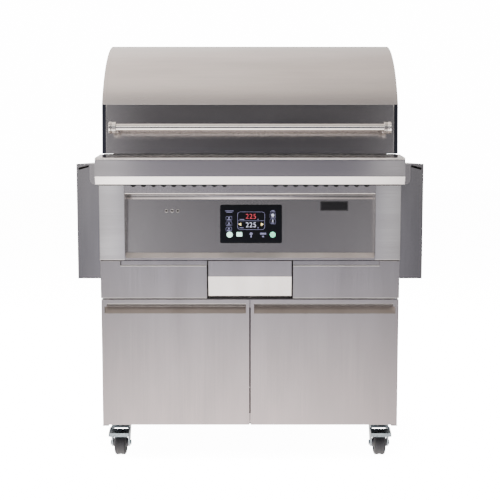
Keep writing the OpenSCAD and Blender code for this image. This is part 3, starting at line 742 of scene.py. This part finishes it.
@dataclass
class HopperLid:
    """The ledge in front of the hood, folded from one sheet."""

    # Height of the front edge above the ground, and the radius of the bead that stiffens it
    edge_mm: float = 917.0
    nose_mm: float = 1.5

    def build(self) -> None:
        """Builds the lid and the bright bead along its front edge."""
        rounded_copy("hopper_lid", Finish.LEDGE, round_mm=0.9, angle_deg=12)
        low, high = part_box("hopper_lid")
        bm = bmesh.new()
        bead(bm, low.x + 2 * self.nose_mm * MM, high.x - 2 * self.nose_mm * MM, low.y + self.nose_mm * MM,
             (self.edge_mm - self.nose_mm) * MM, self.nose_mm * MM)
        publish(bm, "lid_nose_bead", body_of_node("hopper_lid"), [Finish.SATIN])


@dataclass
class Display:
    """Black glass touch display with lit marks, drawn in millimetres from the glass's centre."""

    digit_mm: float = 21.0
    proud_mm: float = 0.3
    frame_mm: tuple[float, float] = (82.0, 54.0)
    key_x: tuple[float, ...] = (-64.0, -35.0, 0.5, 36.0, 65.0)
    key_z: float = -32.0
    # Height of the round-cornered frame's centre above the glass's centre
    frame_z: float = 9.5
    # Plane of the glass's face, read from the CAD
    face: Matrix = field(init=False)

    def build(self) -> None:
        """Builds the glass and its marks."""
        rounded_copy("display_glass", Finish.GLASS, round_mm=0.7)
        self.face = face_frame("display_glass", Vector((0, -1, 0)))
        self.digits("225", Finish.LIT_RED, "display_set_digits", self.frame_z + 12.5)
        self.digits("225", Finish.LIT_WHITE, "display_actual_digits", self.frame_z - 13.0)
        self.outlines()
        self.keys()

    def mark(self, x: float, z: float) -> Matrix:
        """Returns the place of a mark on the glass."""
        return at(self.face, x, z)

    def digits(self, text: str, finish: Finish, name: str, z: float) -> None:
        """Builds a row of digits as flat raised marks.

        Args:
            text: The digits.
            finish: Their finish.
            name: The piece's name.
            z: Height of their middle above the glass's centre, in millimetres.
        """
        curve = bpy.data.curves.new(name, "FONT")
        curve.body = text
        curve.size = self.digit_mm * MM
        curve.extrude = self.proud_mm * MM / 2
        curve.align_x = "CENTER"
        curve.align_y = "CENTER"
        curve.space_character = 1.06
        curve.resolution_u = 4
        curve.offset = -0.2 * MM
        holder = bpy.data.objects.new(name + "_text", curve)
        bpy.context.scene.collection.objects.link(holder)
        bpy.context.view_layer.update()
        mesh = bpy.data.meshes.new_from_object(holder)
        bpy.data.objects.remove(holder)
        bm = bmesh.new()
        bm.from_mesh(mesh)
        bpy.data.meshes.remove(mesh)
        upright = self.mark(0, z) @ Matrix.Rotation(math.radians(90), 4, "X")
        bmesh.ops.transform(bm, matrix=upright, verts=bm.verts)
        publish(bm, name, "cart", [finish])

    def outlines(self) -> None:
        """Builds the round-cornered frame, its divider, and the outlines of the small keys."""
        bm = bmesh.new()
        wide, high = self.frame_mm
        thick = self.proud_mm * MM
        middle = self.frame_z
        self.ring(bm, 0.5, middle, wide, high, 9.0, 1.0)
        for x, z, w, h in ((0.5, 0, wide - 4, 0.8), (-27, 4, 14, 2.0), (-28, -21, 12, 2.0), (21, 4, 3, 3),
                           (21, -21, 3, 3)):
            plate(bm, w * MM, h * MM, thick, 0.0, self.mark(x, middle + z))
        for z in (16.5, 0.5, -15.5):
            self.ring(bm, -66.0, z, 18.0, 12.5, 3.0, 0.7)
            disc(bm, 2.4 * MM, thick, self.mark(-66.0, z + 1.5))
            plate(bm, 10 * MM, 2.2 * MM, thick, 0.6 * MM, self.mark(-66.0, z - 3.4))
        for z in (24.0, 7.0):
            self.ring(bm, 65.0, z, 17.0, 15.0, 3.0, 0.7)
            plate(bm, 9 * MM, 2.2 * MM, thick, 0.6 * MM, self.mark(65.0, z - 4.2))
        for x, z, w in ((-65.0, 39.0, 26.0), (-65.0, 35.0, 18.0), (65.0, 40.0, 10.0), (65.0, 36.0, 16.0)):
            plate(bm, w * MM, 1.8 * MM, thick, 0.5 * MM, self.mark(x, z))
        publish(bm, "display_outlines", "cart", [Finish.LIT_DIM])
        lamps = bmesh.new()
        disc(lamps, 4.4 * MM, self.proud_mm * MM, self.mark(65.0, 26.0))
        plate(lamps, 2.6 * MM, 7 * MM, self.proud_mm * MM, 0.6 * MM, self.mark(65.0, 9.0))
        publish(lamps, "display_lamps", "cart", [Finish.LIT_WHITE])

    def ring(self, bm: bmesh.types.BMesh, x: float, z: float, width: float, height: float, corner: float,
             line: float) -> None:
        """Adds a round-cornered outline on the glass, with its sizes in millimetres."""
        outline(bm, width * MM, height * MM, self.proud_mm * MM, corner * MM, line * MM, self.mark(x, z))

    def keys(self) -> None:
        """Builds the row of lit keys and the two arrows."""
        x0, x1, x2, x3, x4 = self.key_x
        thick = self.proud_mm * MM
        mint = bmesh.new()
        disc(mint, 8.6 * MM, thick, self.mark(x0, self.key_z))
        plate(mint, 17 * MM, 13 * MM, thick, 3 * MM, self.mark(x1, self.key_z + 1))
        publish(mint, "display_keys_mint", "cart", [Finish.LIT_MINT])
        green = bmesh.new()
        disc(green, 8.6 * MM, thick, self.mark(x4, self.key_z))
        publish(green, "display_key_green", "cart", [Finish.LIT_GREEN])
        white = bmesh.new()
        disc(white, 4.4 * MM, thick, self.mark(x2, self.key_z + 2.5))
        plate(white, 4 * MM, 6 * MM, thick, 1 * MM, self.mark(x2, self.key_z - 5.5))
        plate(white, 18 * MM, 5 * MM, thick, 1 * MM, self.mark(x3, self.key_z + 3))
        plate(white, 6 * MM, 4 * MM, thick, 1 * MM, self.mark(x3, self.key_z - 5.5))
        publish(white, "display_keys_white", "cart", [Finish.LIT_DIM])
        amber = bmesh.new()
        for side in (-1, 1):
            turn = Matrix.Rotation(math.radians(-90 if side < 0 else 90), 4, "Y")
            disc(amber, 5.0 * MM, thick, self.mark(side * 32.5, -1.0) @ turn, steps=3)
        publish(amber, "display_arrows", "cart", [Finish.LIT_AMBER])


@dataclass
class ControlHead:
    """Pilasters, notched control frame, recessed panel and what is on it."""

    soffit_screws_mm: tuple[float, ...] = (-119.0, 122.0)
    jack_pitch_mm: float = 17.0
    # Radius of the bead round the recess, and where its upright ends start above the frame's foot
    bead_mm: float = 1.2
    bead_foot_mm: float = 14.0
    sill_mm: float = 21.0
    # The bend at the panel's top: its width, and its turn from the panel's plane
    bend_mm: float = 17.0
    bend_deg: float = 5.2
    # The rim's height, and where its pads for the hood start
    rim_mm: float = 925.0
    rest_y_mm: float = -222.0

    def build(self) -> None:
        """Builds the head's front and its casing."""
        rounded_copy("head_pilasters", Finish.PILASTER, round_mm=1.4, segments=3)
        self.sill(rounded_copy("control_frame", Finish.FRONT, round_mm=0.9))
        rounded_copy("control_panel", Finish.PANEL, round_mm=0.5)
        rounded_copy("head_shell", Finish.FRONT, round_mm=0.9)
        rounded_copy("badge_plate", Finish.ENAMEL, round_mm=0.6)
        dress_node("controller_box", Finish.PLASTIC)
        Display().build()
        self.jacks()
        self.fasteners()
        self.badge_rim()
        self.lid_gap_shadow_strip()
        self.recess_bead()
        self.top_bend()
        self.hood_corner_rests()

    def hood_corner_rests(self) -> None:
        """Builds the two pads on the rim that the hood's front corners close over."""
        _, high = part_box("head_shell")
        hood_low, hood_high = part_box("hood_end_caps")
        inset, length, top = 26 * MM, 12 * MM, hood_low.z - 0.5 * MM
        bm = bmesh.new()
        for side in (-1, 1):
            ends = sorted((side * (high.x - inset), side * (hood_high.x - 3 * MM)))
            block(bm, Vector((ends[0], self.rest_y_mm * MM, self.rim_mm * MM)),
                  Vector((ends[1], self.rest_y_mm * MM + length, top)), 0.4 * MM)
        publish(bm, "hood_corner_rests", "cart", [Finish.SATIN])

    def sill(self, surround: bpy.types.Object) -> None:
        """Gives the recess's sloping sill its duller finish.

        Args:
            surround: The visible piece of the frame round the panel.
        """
        low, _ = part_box("control_frame")
        surround.data.materials.append(material_of(Finish.SILL))
        for face in surround.data.polygons:
            inside = face.center.z < low.z + self.sill_mm * MM and face.center.y > low.y + 1 * MM
            if inside and face.normal.z > 0.5:
                face.material_index = 1

    def top_bend(self) -> None:
        """Builds the bend at the panel's top, which turns its last strip to face slightly down."""
        panel = face_frame("control_panel", Vector((0, -1, 0)))
        low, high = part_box("control_panel")
        top = (high.z - low.z) / 2
        drop = self.bend_mm * MM
        place = at(panel, 0, (top - drop) / MM - 1.0) @ Matrix.Rotation(math.radians(self.bend_deg), 4, "X")
        bm = bmesh.new()
        block(bm, Vector((low.x + 1 * MM, -0.4 * MM, 0)), Vector((high.x - 1 * MM, 0.8 * MM, drop)), 0.2 * MM,
              place=place)
        publish(bm, "panel_top_bend", "cart", [Finish.PANEL])

    def jacks(self) -> None:
        """Builds the probe sockets: a turned nut, a bright ring and a dark bore."""
        face = face_frame("probe_jacks", Vector((0, -1, 0)))
        bm = bmesh.new()
        for k in (-1, 0, 1):
            place = at(face, k * self.jack_pitch_mm, 0) @ Matrix.Rotation(math.radians(-90), 4, "Z")
            turned(bm, [(x * MM, r * MM) for x, r in ((-14, 3.8), (-3, 3.8), (-3, 5.0), (-0.8, 5.0), (0, 4.2),
                                                      (0, 3.6), (-0.5, 3.1), (-2.5, 3.1))], 24, place)
            turned(bm, [(x * MM, r * MM) for x, r in ((-2.5, 3.1), (-2.5, 1.8), (-12, 1.8), (-12, 0.0))], 24,
                   place, 1)
        publish(bm, "probe_jacks_skin", "cart", [Finish.SATIN, Finish.PLASTIC], ["probe_jacks"])

    def fasteners(self) -> None:
        """Builds the small screws at the top of the recessed panel."""
        panel = face_frame("control_panel", Vector((0, -1, 0)))
        low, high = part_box("control_panel")
        top = (high.z - low.z) / MM / 2 - 6
        bm = bmesh.new()
        for x in self.soffit_screws_mm:
            screw_head(bm, at(panel, x, top), radius_mm=3.0)
        publish(bm, "panel_screws", "cart", [Finish.SCREW])

    def lid_gap_shadow_strip(self) -> None:
        """Builds the black strip that the lid's skirt closes in front of: painted shadow in the gap under the
        lid.
        """
        low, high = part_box("control_frame")
        lid_low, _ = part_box("hopper_lid")
        head_low, head_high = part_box("head_pilasters")
        back = low.y + 7.4 * MM
        bm = bmesh.new()
        # Painted shadow: black strips fill the gap between the frame's top and the lid
        block(bm, Vector((low.x + 3 * MM, low.y + 2.6 * MM, high.z - 11 * MM)),
              Vector((high.x - 3 * MM, back, high.z)), 0.8 * MM)
        block(bm, Vector((head_low.x + 4 * MM, low.y + 3.2 * MM, high.z + 0.2 * MM)),
              Vector((head_high.x - 4 * MM, back, lid_low.z + 5 * MM)), 0.8 * MM)
        publish(bm, "lid_gap_shadow_strip", "cart", [Finish.SHADOW_STRIP])

    def recess_bead(self) -> None:
        """Builds the polished bead round the top and sides of the recess."""
        low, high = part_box("control_frame")
        _, panel_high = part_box("control_panel")
        radius = self.bead_mm * MM
        y = low.y + 0.3 * MM + radius * 0.4
        top = panel_high.z + 0.6 * MM
        foot = low.z + self.bead_foot_mm * MM
        bm = bmesh.new()
        turned(bm, [(low.x + radius, 0.0), (low.x + radius, radius), (high.x - radius, radius),
                    (high.x - radius, 0.0)], 12, Matrix.Translation((0, y, top)))
        for x in (low.x + radius, high.x - radius):
            turned(bm, [(0.0, 0.0), (0.0, radius), (top - foot, radius), (top - foot, 0.0)], 12,
                   Matrix.Translation((x, y, foot)) @ Matrix.Rotation(math.radians(-90), 4, "Y"))
        publish(bm, "recess_bead", "cart", [Finish.POLISHED])

    def badge_rim(self) -> None:
        """Builds a plain raised rim round the badge plate."""
        face = face_frame("badge_plate", Vector((0, -1, 0)))
        low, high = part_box("badge_plate")
        width, height = high.x - low.x - 3 * MM, high.z - low.z - 3 * MM
        bm = bmesh.new()
        outline(bm, width, height, 0.3 * MM, 1.5 * MM, 1.0 * MM, face)
        publish(bm, "badge_rim", "cart", [Finish.POLISHED])


@dataclass
class Cart:
    """Cart body, front panel, doors and drawer."""

    # The doors' V groove: its depth, and its upper and lower edges below the door's top
    groove_mm: float = 15.4
    groove_top_mm: float = 11.5
    groove_foot_mm: float = 43.5
    # The front panel's hems, and its notch: depth, and distance of its end from the panel's
    hem_mm: float = 0.9
    notch_mm: float = 14.0
    notch_end_mm: float = 60.0

    def build(self) -> None:
        """Builds the cart."""
        rounded_copy("cart_front_panel", Finish.FRONT, round_mm=0.9)
        self.hems()
        self.gap_shadow_strips()
        rounded_copy("cart_sides", Finish.FRONT, round_mm=0.9)
        rounded_copy("cart_front_frame", Finish.FRONT, round_mm=0.8)
        rounded_copy("cart_back_panel", Finish.MILL, round_mm=0.6)
        rounded_copy("cart_base", Finish.MILL, round_mm=0.8)
        for side in ("left", "right"):
            door = rounded_copy(f"{side}_door", Finish.DOOR, round_mm=0.9, angle_deg=20)
            self.paint_groove_shade_and_light(door, f"{side}_door")
            rounded_copy(f"{side}_door_liner", Finish.MILL, round_mm=0.5)
        rounded_copy("drawer_front", Finish.FRONT, round_mm=0.9, angle_deg=8)
        rounded_copy("drawer_tray", Finish.MILL, round_mm=0.6)
        for node in ("door_hinge_pins", "drawer_runners"):
            rounded_copy(node, Finish.ZINC, round_mm=0.4)
        rounded_copy("door_catches", Finish.PLASTIC, round_mm=0.8)

    def hems(self) -> None:
        """Builds the rolled hems along the front panel's lower edge and its shallow notch."""
        low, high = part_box("cart_front_panel")
        _, drawer_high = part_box("drawer_front")
        radius = self.hem_mm * MM
        y = low.y + radius * 0.6
        notch_z = high.z - self.notch_mm * MM - radius
        bm = bmesh.new()
        for side in (-1, 1):
            inner = side * (drawer_high.x + 5 * MM)
            for reach, z in ((high.x - 1 * MM, low.z + radius), (high.x - self.notch_end_mm * MM, notch_z)):
                bead(bm, min(inner, side * reach), max(inner, side * reach), y, z, radius)
        publish(bm, "front_panel_hems", "cart", [Finish.SATIN])

    def gap_shadow_strips(self) -> None:
        """Builds black strips in the gaps over the front panel and over the doors: painted shadow in these
        gaps.
        """
        low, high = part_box("cart_front_panel")
        _, door_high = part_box("right_door")
        skirt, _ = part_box("control_frame")
        bm = bmesh.new()
        # Painted shadow: black strips fill the gaps over the doors and over the front panel
        for bottom, top, end in ((door_high.z, low.z, high.x - 22 * MM), (high.z, skirt.z, high.x - 3 * MM)):
            block(bm, Vector((-end, low.y + 3 * MM, bottom + 0.6 * MM)),
                  Vector((end, low.y + 14 * MM, top - 0.6 * MM)), 0.3 * MM)
        publish(bm, "gap_shadow_strips", "cart", [Finish.SHADOW_STRIP])

    def paint_groove_shade_and_light(self, door: bpy.types.Object, node: str) -> None:
        """Gives the slopes of a door's V groove their own finishes: painted shade on the lower slope, painted
        light on the upper slope.

        Args:
            door: The door's visible piece.
            node: The CAD node it stands for.
        """
        low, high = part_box(node)
        for finish in (Finish.LOWER_SLOPE_PAINTED_SHADE, Finish.UPPER_SLOPE_PAINTED_LIGHT):
            door.data.materials.append(material_of(finish))
        for face in door.data.polygons:
            depth = (face.center.y - low.y) / MM
            drop = (high.z - face.center.z) / MM
            within = 0.6 < depth < self.groove_mm and self.groove_top_mm < drop < self.groove_foot_mm
            if within and face.normal.y < -0.3 and abs(face.normal.z) > 0.4:
                # The upward-facing slope gets the painted shade, the downward-facing slope the painted light
                face.material_index = 1 if face.normal.z > 0 else 2


@dataclass
class Shelves:
    """Folded side shelves and their brackets."""

    def build(self) -> None:
        """Builds both shelves."""
        for side in ("left", "right"):
            rounded_copy(f"{side}_shelf", Finish.SHELF, round_mm=1.4, segments=3)
        rounded_copy("shelf_brackets", Finish.FRONT, round_mm=0.7)


@dataclass
class Caster:
    """One swivel caster: fork, wheel with tyre and hub, and a brake pedal on the front ones."""

    corner: str
    tyre_steps: int = 64
    # Half width of the tyre, and depth of the groove round its tread
    half_mm: float = 17.5
    groove_mm: float = 1.0

    def build(self) -> None:
        """Builds the caster."""
        rounded_copy(f"caster_fork_{self.corner}", Finish.ZINC, round_mm=0.9)
        self.wheel()
        self.axle_nuts()
        if self.corner.startswith("front"):
            side = self.corner.split("_")[1]
            rounded_copy(f"brake_pedal_{side}", Finish.ZINC, round_mm=0.8)

    def wheel(self) -> None:
        """Builds the tyre with its moulded grooves and the hub."""
        node = f"wheel_{self.corner}"
        low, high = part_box(node)
        centre = (low + high) / 2
        radius = (high.z - low.z) / 2 / MM
        place = Matrix.Translation(centre)
        half, sunk = self.half_mm, radius - self.groove_mm
        tread = [(-half, 25), (-half, 31), (-half + 1.5, 34.8), (-half + 5, radius), (-4, radius),
                 (-3.4, sunk), (3.4, sunk), (4, radius), (half - 5, radius), (half - 1.5, 34.8), (half, 31),
                 (half, 25)]
        hub = [(-half, 25), (-half + 3, 24), (-half + 4, 14.5), (-half - 2, 13), (-half - 5.5, 12.5),
               (-half - 5.5, 5.4), (half + 5.5, 5.4), (half + 5.5, 12.5), (half + 2, 13), (half - 4, 14.5),
               (half - 3, 24), (half, 25)]
        bm = bmesh.new()
        turned(bm, [(x * MM, r * MM) for x, r in tread], self.tyre_steps, place)
        turned(bm, [(x * MM, r * MM) for x, r in hub], self.tyre_steps, place, 1)
        publish(bm, f"{node}_skin", node, [Finish.TYRE, Finish.HUB], [node])

    def axle_nuts(self) -> None:
        """Builds the hex nuts on the axle's ends."""
        low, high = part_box(f"wheel_{self.corner}")
        fork_low, fork_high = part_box(f"caster_fork_{self.corner}")
        centre = (low + high) / 2
        bm = bmesh.new()
        for side, edge in ((-1, fork_low.x), (1, fork_high.x)):
            place = Matrix.Translation((edge, centre.y, centre.z))
            inner, outer = -side * 3.6 * MM, 0.0
            turned(bm, [(inner, 0.0), (inner, 7.8 * MM), (outer, 7.0 * MM), (outer, 0.0)], 6, place)
        publish(bm, f"axle_nuts_{self.corner}", f"caster_{self.corner}", [Finish.ZINC])


@dataclass
class CookingChamber:
    """What the hood closes over, and the pellet feed."""

    def build(self) -> None:
        """Builds the chamber's parts."""
        for node in ("firebox", "hopper", "auger_tube"):
            rounded_copy(node, Finish.MILL, round_mm=0.6)
        for node in ("cooking_grates", "warming_rack", "heat_diffuser", "drip_tray", "fire_pot"):
            rounded_copy(node, Finish.GRATE, round_mm=0.5)
        for node in ("igniter_rod", "temperature_probe"):
            dress_node(node, Finish.GRATE)
        for node in ("auger_screw", "fan_impeller"):
            dress_node(node, Finish.ZINC)
        for node in ("auger_motor", "fan_housing"):
            rounded_copy(node, Finish.PLASTIC, round_mm=0.5)


@dataclass
class Rear:
    """Rear panel, exhaust duct, inlet and hinge brackets."""

    def build(self) -> None:
        """Builds the rear fittings."""
        rounded_copy("head_rear_panel", Finish.MILL, round_mm=0.6)
        rounded_copy("exhaust_duct", Finish.MILL, round_mm=1.2)
        rounded_copy("power_inlet", Finish.PLASTIC, round_mm=0.4)
        rounded_copy("hood_hinge_brackets", Finish.MILL, round_mm=0.6)
        rounded_copy("caster_plates", Finish.ZINC, round_mm=0.6)


# ---------------------------------------------------------------- stage


@dataclass
class Studio:
    """Pale floor, soft light and the camera."""

    lens_mm: float = 72.0
    distance: float = 3.30
    eye: float = 0.940
    pitch_deg: float = 5.711
    floor_size: float = 40.0
    floor_glow: float = 13.5
    backdrop: float = 15.5
    # Half widths of the dark card ahead and of the pale walls beside it, as sines, and how soft their edges are
    card_half: float = 0.126
    wall_half: float = 0.156
    edge: float = 0.004
    # How much brighter the left of the surround is than its middle
    side_fall: float = 0.35
    # Brightness of a ramp's full white
    peak: float = 6.0
    # Sine of the elevation, brightness and tint
    card_stops: tuple[tuple[float, float, str], ...] = (
        (-1.0, 4.9, "FBF6F2"), (-0.45, 4.6, "FBF6F2"), (-0.36, 3.0, "FFF2F0"), (-0.28, 2.35, "FFEFEE"),
        (-0.2, 1.5, "F7F0F6"), (-0.15, 1.0, "EDEBFA"), (-0.1, 0.82, "EBE9FC"), (-0.05, 0.58, "EBE9FC"),
        (-0.015, 0.22, "EAE8FC"), (0.07, 0.2, "ECEAFC"), (0.1, 0.18, "ECEAFC"), (0.13, 0.03, "F4EEEE"),
        (0.16, 0.04, "F4EEEE"), (0.2, 0.17, "F0EEF6"), (0.24, 0.17, "F0EEF6"), (0.3, 0.05, "F0EEF4"),
        (0.5, 0.06, "F0EEF4"), (0.58, 5.0, "FFFCF8"), (0.66, 5.0, "FFFCF8"), (0.7, 0.4, "FDF6F2"),
        (0.8, 0.6, "FDF3EE"), (0.92, 1.25, "FDF1E8"), (1.0, 1.6, "FDF1E8"))
    wall_stops: tuple[tuple[float, float, str], ...] = (
        (-1.0, 5.6, "FBF6F2"), (-0.66, 5.6, "FBF6F2"), (-0.6, 2.0, "FDF2F0"), (-0.33, 1.6, "FDF2F0"),
        (-0.26, 1.6, "FFEFEE"), (-0.14, 1.2, "F6F4FA"), (-0.06, 1.5, "F6F5FA"), (0.03, 1.2, "F6F5FA"),
        (0.1, 0.3, "F2F0FA"), (0.2, 0.2, "F0EEF4"), (0.5, 0.3, "F0EEF4"), (0.58, 3.6, "FFFCF8"),
        (0.66, 3.6, "FFFCF8"), (0.7, 0.4, "FDF6F2"), (0.8, 0.6, "FDF3EE"), (0.92, 1.2, "FDF1E8"),
        (1.0, 1.6, "FDF1E8"))
    side_stops: tuple[tuple[float, float, str], ...] = (
        (-1.0, 3.0, "FBF6F2"), (-0.5, 1.6, "FDF2F0"), (-0.25, 0.7, "F8F2F2"), (-0.14, 0.16, "F6F4FA"),
        (-0.08, 0.24, "F6F4FA"), (-0.02, 0.5, "F6F2F2"), (0.06, 0.8, "F6F5FA"), (0.2, 0.45, "F4F2F6"),
        (0.45, 0.6, "F6F4F4"), (0.6, 1.4, "FFFCF8"), (0.8, 1.1, "FDF3EE"), (1.0, 1.6, "FDF1E8"))
    rear_stops: tuple[tuple[float, float, str], ...] = (
        (-1.0, 2.6, "FBF6F2"), (-0.3, 1.5, "FBF6F2"), (0.0, 1.4, "FBF6F4"), (0.4, 1.6, "FDF6F0"),
        (0.8, 1.75, "FDF1EA"), (1.0, 1.6, "FDF1E8"))

    def build(self) -> None:
        """Builds the stage."""
        self.floor()
        self.world()
        self.lights()
        self.camera()

    def camera(self) -> None:
        """Adds the camera, level across and looking slightly down."""
        data = bpy.data.cameras.new("camera")
        data.lens = self.lens_mm
        data.sensor_width = 36.0
        holder = bpy.data.objects.new("camera", data)
        holder.location = (0, -self.distance, self.eye)
        holder.rotation_euler = (math.radians(90 - self.pitch_deg), 0, 0)
        bpy.context.scene.collection.objects.link(holder)
        bpy.context.scene.camera = holder

    def floor(self) -> None:
        """Adds a plain pale floor, which takes soft shadows and stays out of the metal's reflections."""
        bm = bmesh.new()
        bmesh.ops.create_grid(bm, x_segments=1, y_segments=1, size=self.floor_size / 2)
        mesh = bpy.data.meshes.new("floor")
        bm.to_mesh(mesh)
        bm.free()
        ground = bpy.data.objects.new("floor", mesh)
        bpy.context.scene.collection.objects.link(ground)
        material = bpy.data.materials.new("studio_floor")
        material.use_nodes = True
        shader = material.node_tree.nodes["Principled BSDF"]
        shader.inputs["Base Color"].default_value = linear("F2F1F0")
        shader.inputs["Roughness"].default_value = 1.0
        shader.inputs["Emission Color"].default_value = (1, 1, 1, 1)
        shader.inputs["Emission Strength"].default_value = self.floor_glow
        mesh.materials.append(material)
        ground.visible_glossy = False
        ground.visible_diffuse = False

    def world(self) -> None:
        """Sets the studio surround: a dark card between pale walls, a long light over it and a pale floor."""
        world = bpy.data.worlds.new("studio")
        bpy.context.scene.world = world
        world.use_nodes = True
        tree = world.node_tree
        tree.nodes.clear()
        direction = add_node(tree, "ShaderNodeTexCoord").outputs["Generated"]
        parts = add_node(tree, "ShaderNodeSeparateXYZ", Vector=direction)
        level = add_node(tree, "ShaderNodeMapRange", Value=parts.outputs["Z"], From_Min=-1.0, From_Max=1.0)
        ahead, wall, aside, behind = (self.ramp(tree, level.outputs[0], stops) for stops in
                                      (self.card_stops, self.wall_stops, self.side_stops, self.rear_stops))
        sideways = add_node(tree, "ShaderNodeMath", {"operation": "ABSOLUTE"}, i0=parts.outputs["X"])
        off_card, off_wall = (
            add_node(tree, "ShaderNodeMapRange", {"interpolation_type": "SMOOTHSTEP"},
                     Value=sideways.outputs[0], From_Min=half - self.edge, From_Max=half + self.edge)
            for half in (self.card_half, self.wall_half))
        rearward = add_node(tree, "ShaderNodeMapRange", {"interpolation_type": "SMOOTHSTEP"},
                            Value=parts.outputs["Y"], From_Min=-0.1, From_Max=0.45)
        seen_light = ahead
        for factor, beyond in ((off_card, wall), (off_wall, aside), (rearward, behind)):
            seen_light = add_node(tree, "ShaderNodeMix", {"data_type": "RGBA"}, i0=factor.outputs[0],
                                  i6=seen_light, i7=beyond).outputs[2]
        slope = add_node(tree, "ShaderNodeMapRange", Value=parts.outputs["X"], From_Min=-0.25, From_Max=0.25,
                         To_Min=1.0 + self.side_fall, To_Max=1.0 - self.side_fall)
        power = add_node(tree, "ShaderNodeMath", {"operation": "MULTIPLY"}, i0=slope.outputs[0], i1=self.peak)
        around = add_node(tree, "ShaderNodeBackground", Color=seen_light, Strength=power.outputs[0])
        plain = add_node(tree, "ShaderNodeBackground", Color=(1, 1, 1, 1), Strength=self.backdrop)
        by_camera = add_node(tree, "ShaderNodeLightPath").outputs["Is Camera Ray"]
        mixed = add_node(tree, "ShaderNodeMixShader", i0=by_camera, i1=around.outputs[0], i2=plain.outputs[0])
        add_node(tree, "ShaderNodeOutputWorld", Surface=mixed.outputs[0])

    def ramp(self, tree: bpy.types.NodeTree, level: bpy.types.NodeSocket,
             stops: Sequence[tuple[float, float, str]]) -> bpy.types.NodeSocket:
        """Adds a ramp from straight down to straight up.

        Args:
            tree: The world's nodes.
            level: Height of the direction, from 0 straight down to 1 straight up.
            stops: Sine of each stop's elevation, its brightness and its tint.

        Returns:
            The ramp's colour.
        """
        node = add_node(tree, "ShaderNodeValToRGB", Fac=level)
        elements = node.color_ramp.elements
        elements[0].position = 0.0
        for sine, light, tint in stops:
            if sine in (-1.0, 1.0):
                stop = elements[0 if sine < 0 else -1]
            else:
                stop = elements.new((sine + 1) / 2)
            shade = light / self.peak
            red, green, blue, _ = linear(tint)
            stop.color = (shade * red, shade * green, shade * blue, 1.0)
        return node.outputs[0]

    def lights(self) -> None:
        """Adds soft lights that don't show in the metal: name, place, target, width, height and watts."""
        self.panel("front_softbox", (0.0, -2.6, 3.2), (0.0, 0.0, 0.4), 2.6, 1.4, 220.0)
        self.panel("top_softbox", (0.0, 0.0, 4.0), (0.0, 0.0, 0.0), 4.0, 4.0, 500.0)
        self.panel("left_softbox", (-3.2, -0.4, 2.4), (0.0, 0.0, 0.5), 1.6, 2.4, 160.0)
        self.panel("right_softbox", (3.2, -0.4, 2.4), (0.0, 0.0, 0.5), 1.6, 2.4, 120.0)

    def panel(self, name: str, place: Sequence[float], target: Sequence[float], width: float, height: float,
              watts: float) -> None:
        """Adds a rectangular soft light that aims at a point and is hidden from reflections.

        Args:
            name: The light's name.
            place: Where it stands, in metres.
            target: The point it aims at.
            width: Its width.
            height: Its height.
            watts: Its power.
        """
        data = bpy.data.lights.new(name, "AREA")
        data.shape = "RECTANGLE"
        data.size = width
        data.size_y = height
        data.energy = watts
        holder = bpy.data.objects.new(name, data)
        holder.location = place
        aim = Vector(target) - Vector(place)
        holder.rotation_euler = aim.to_track_quat("-Z", "Y").to_euler()
        holder.visible_glossy = False
        holder.visible_camera = False
        bpy.context.scene.collection.objects.link(holder)


def main() -> None:
    """Builds the stage and every sub-assembly."""
    logging.basicConfig(level=logging.INFO, format="%(name)s: %(message)s")
    Studio().build()
    Hood().build()
    HopperLid().build()
    ControlHead().build()
    Cart().build()
    Shelves().build()
    for corner in ("front_left", "front_right", "rear_left", "rear_right"):
        Caster(corner).build()
    CookingChamber().build()
    Rear().build()


if __name__ == "__main__":
    main()
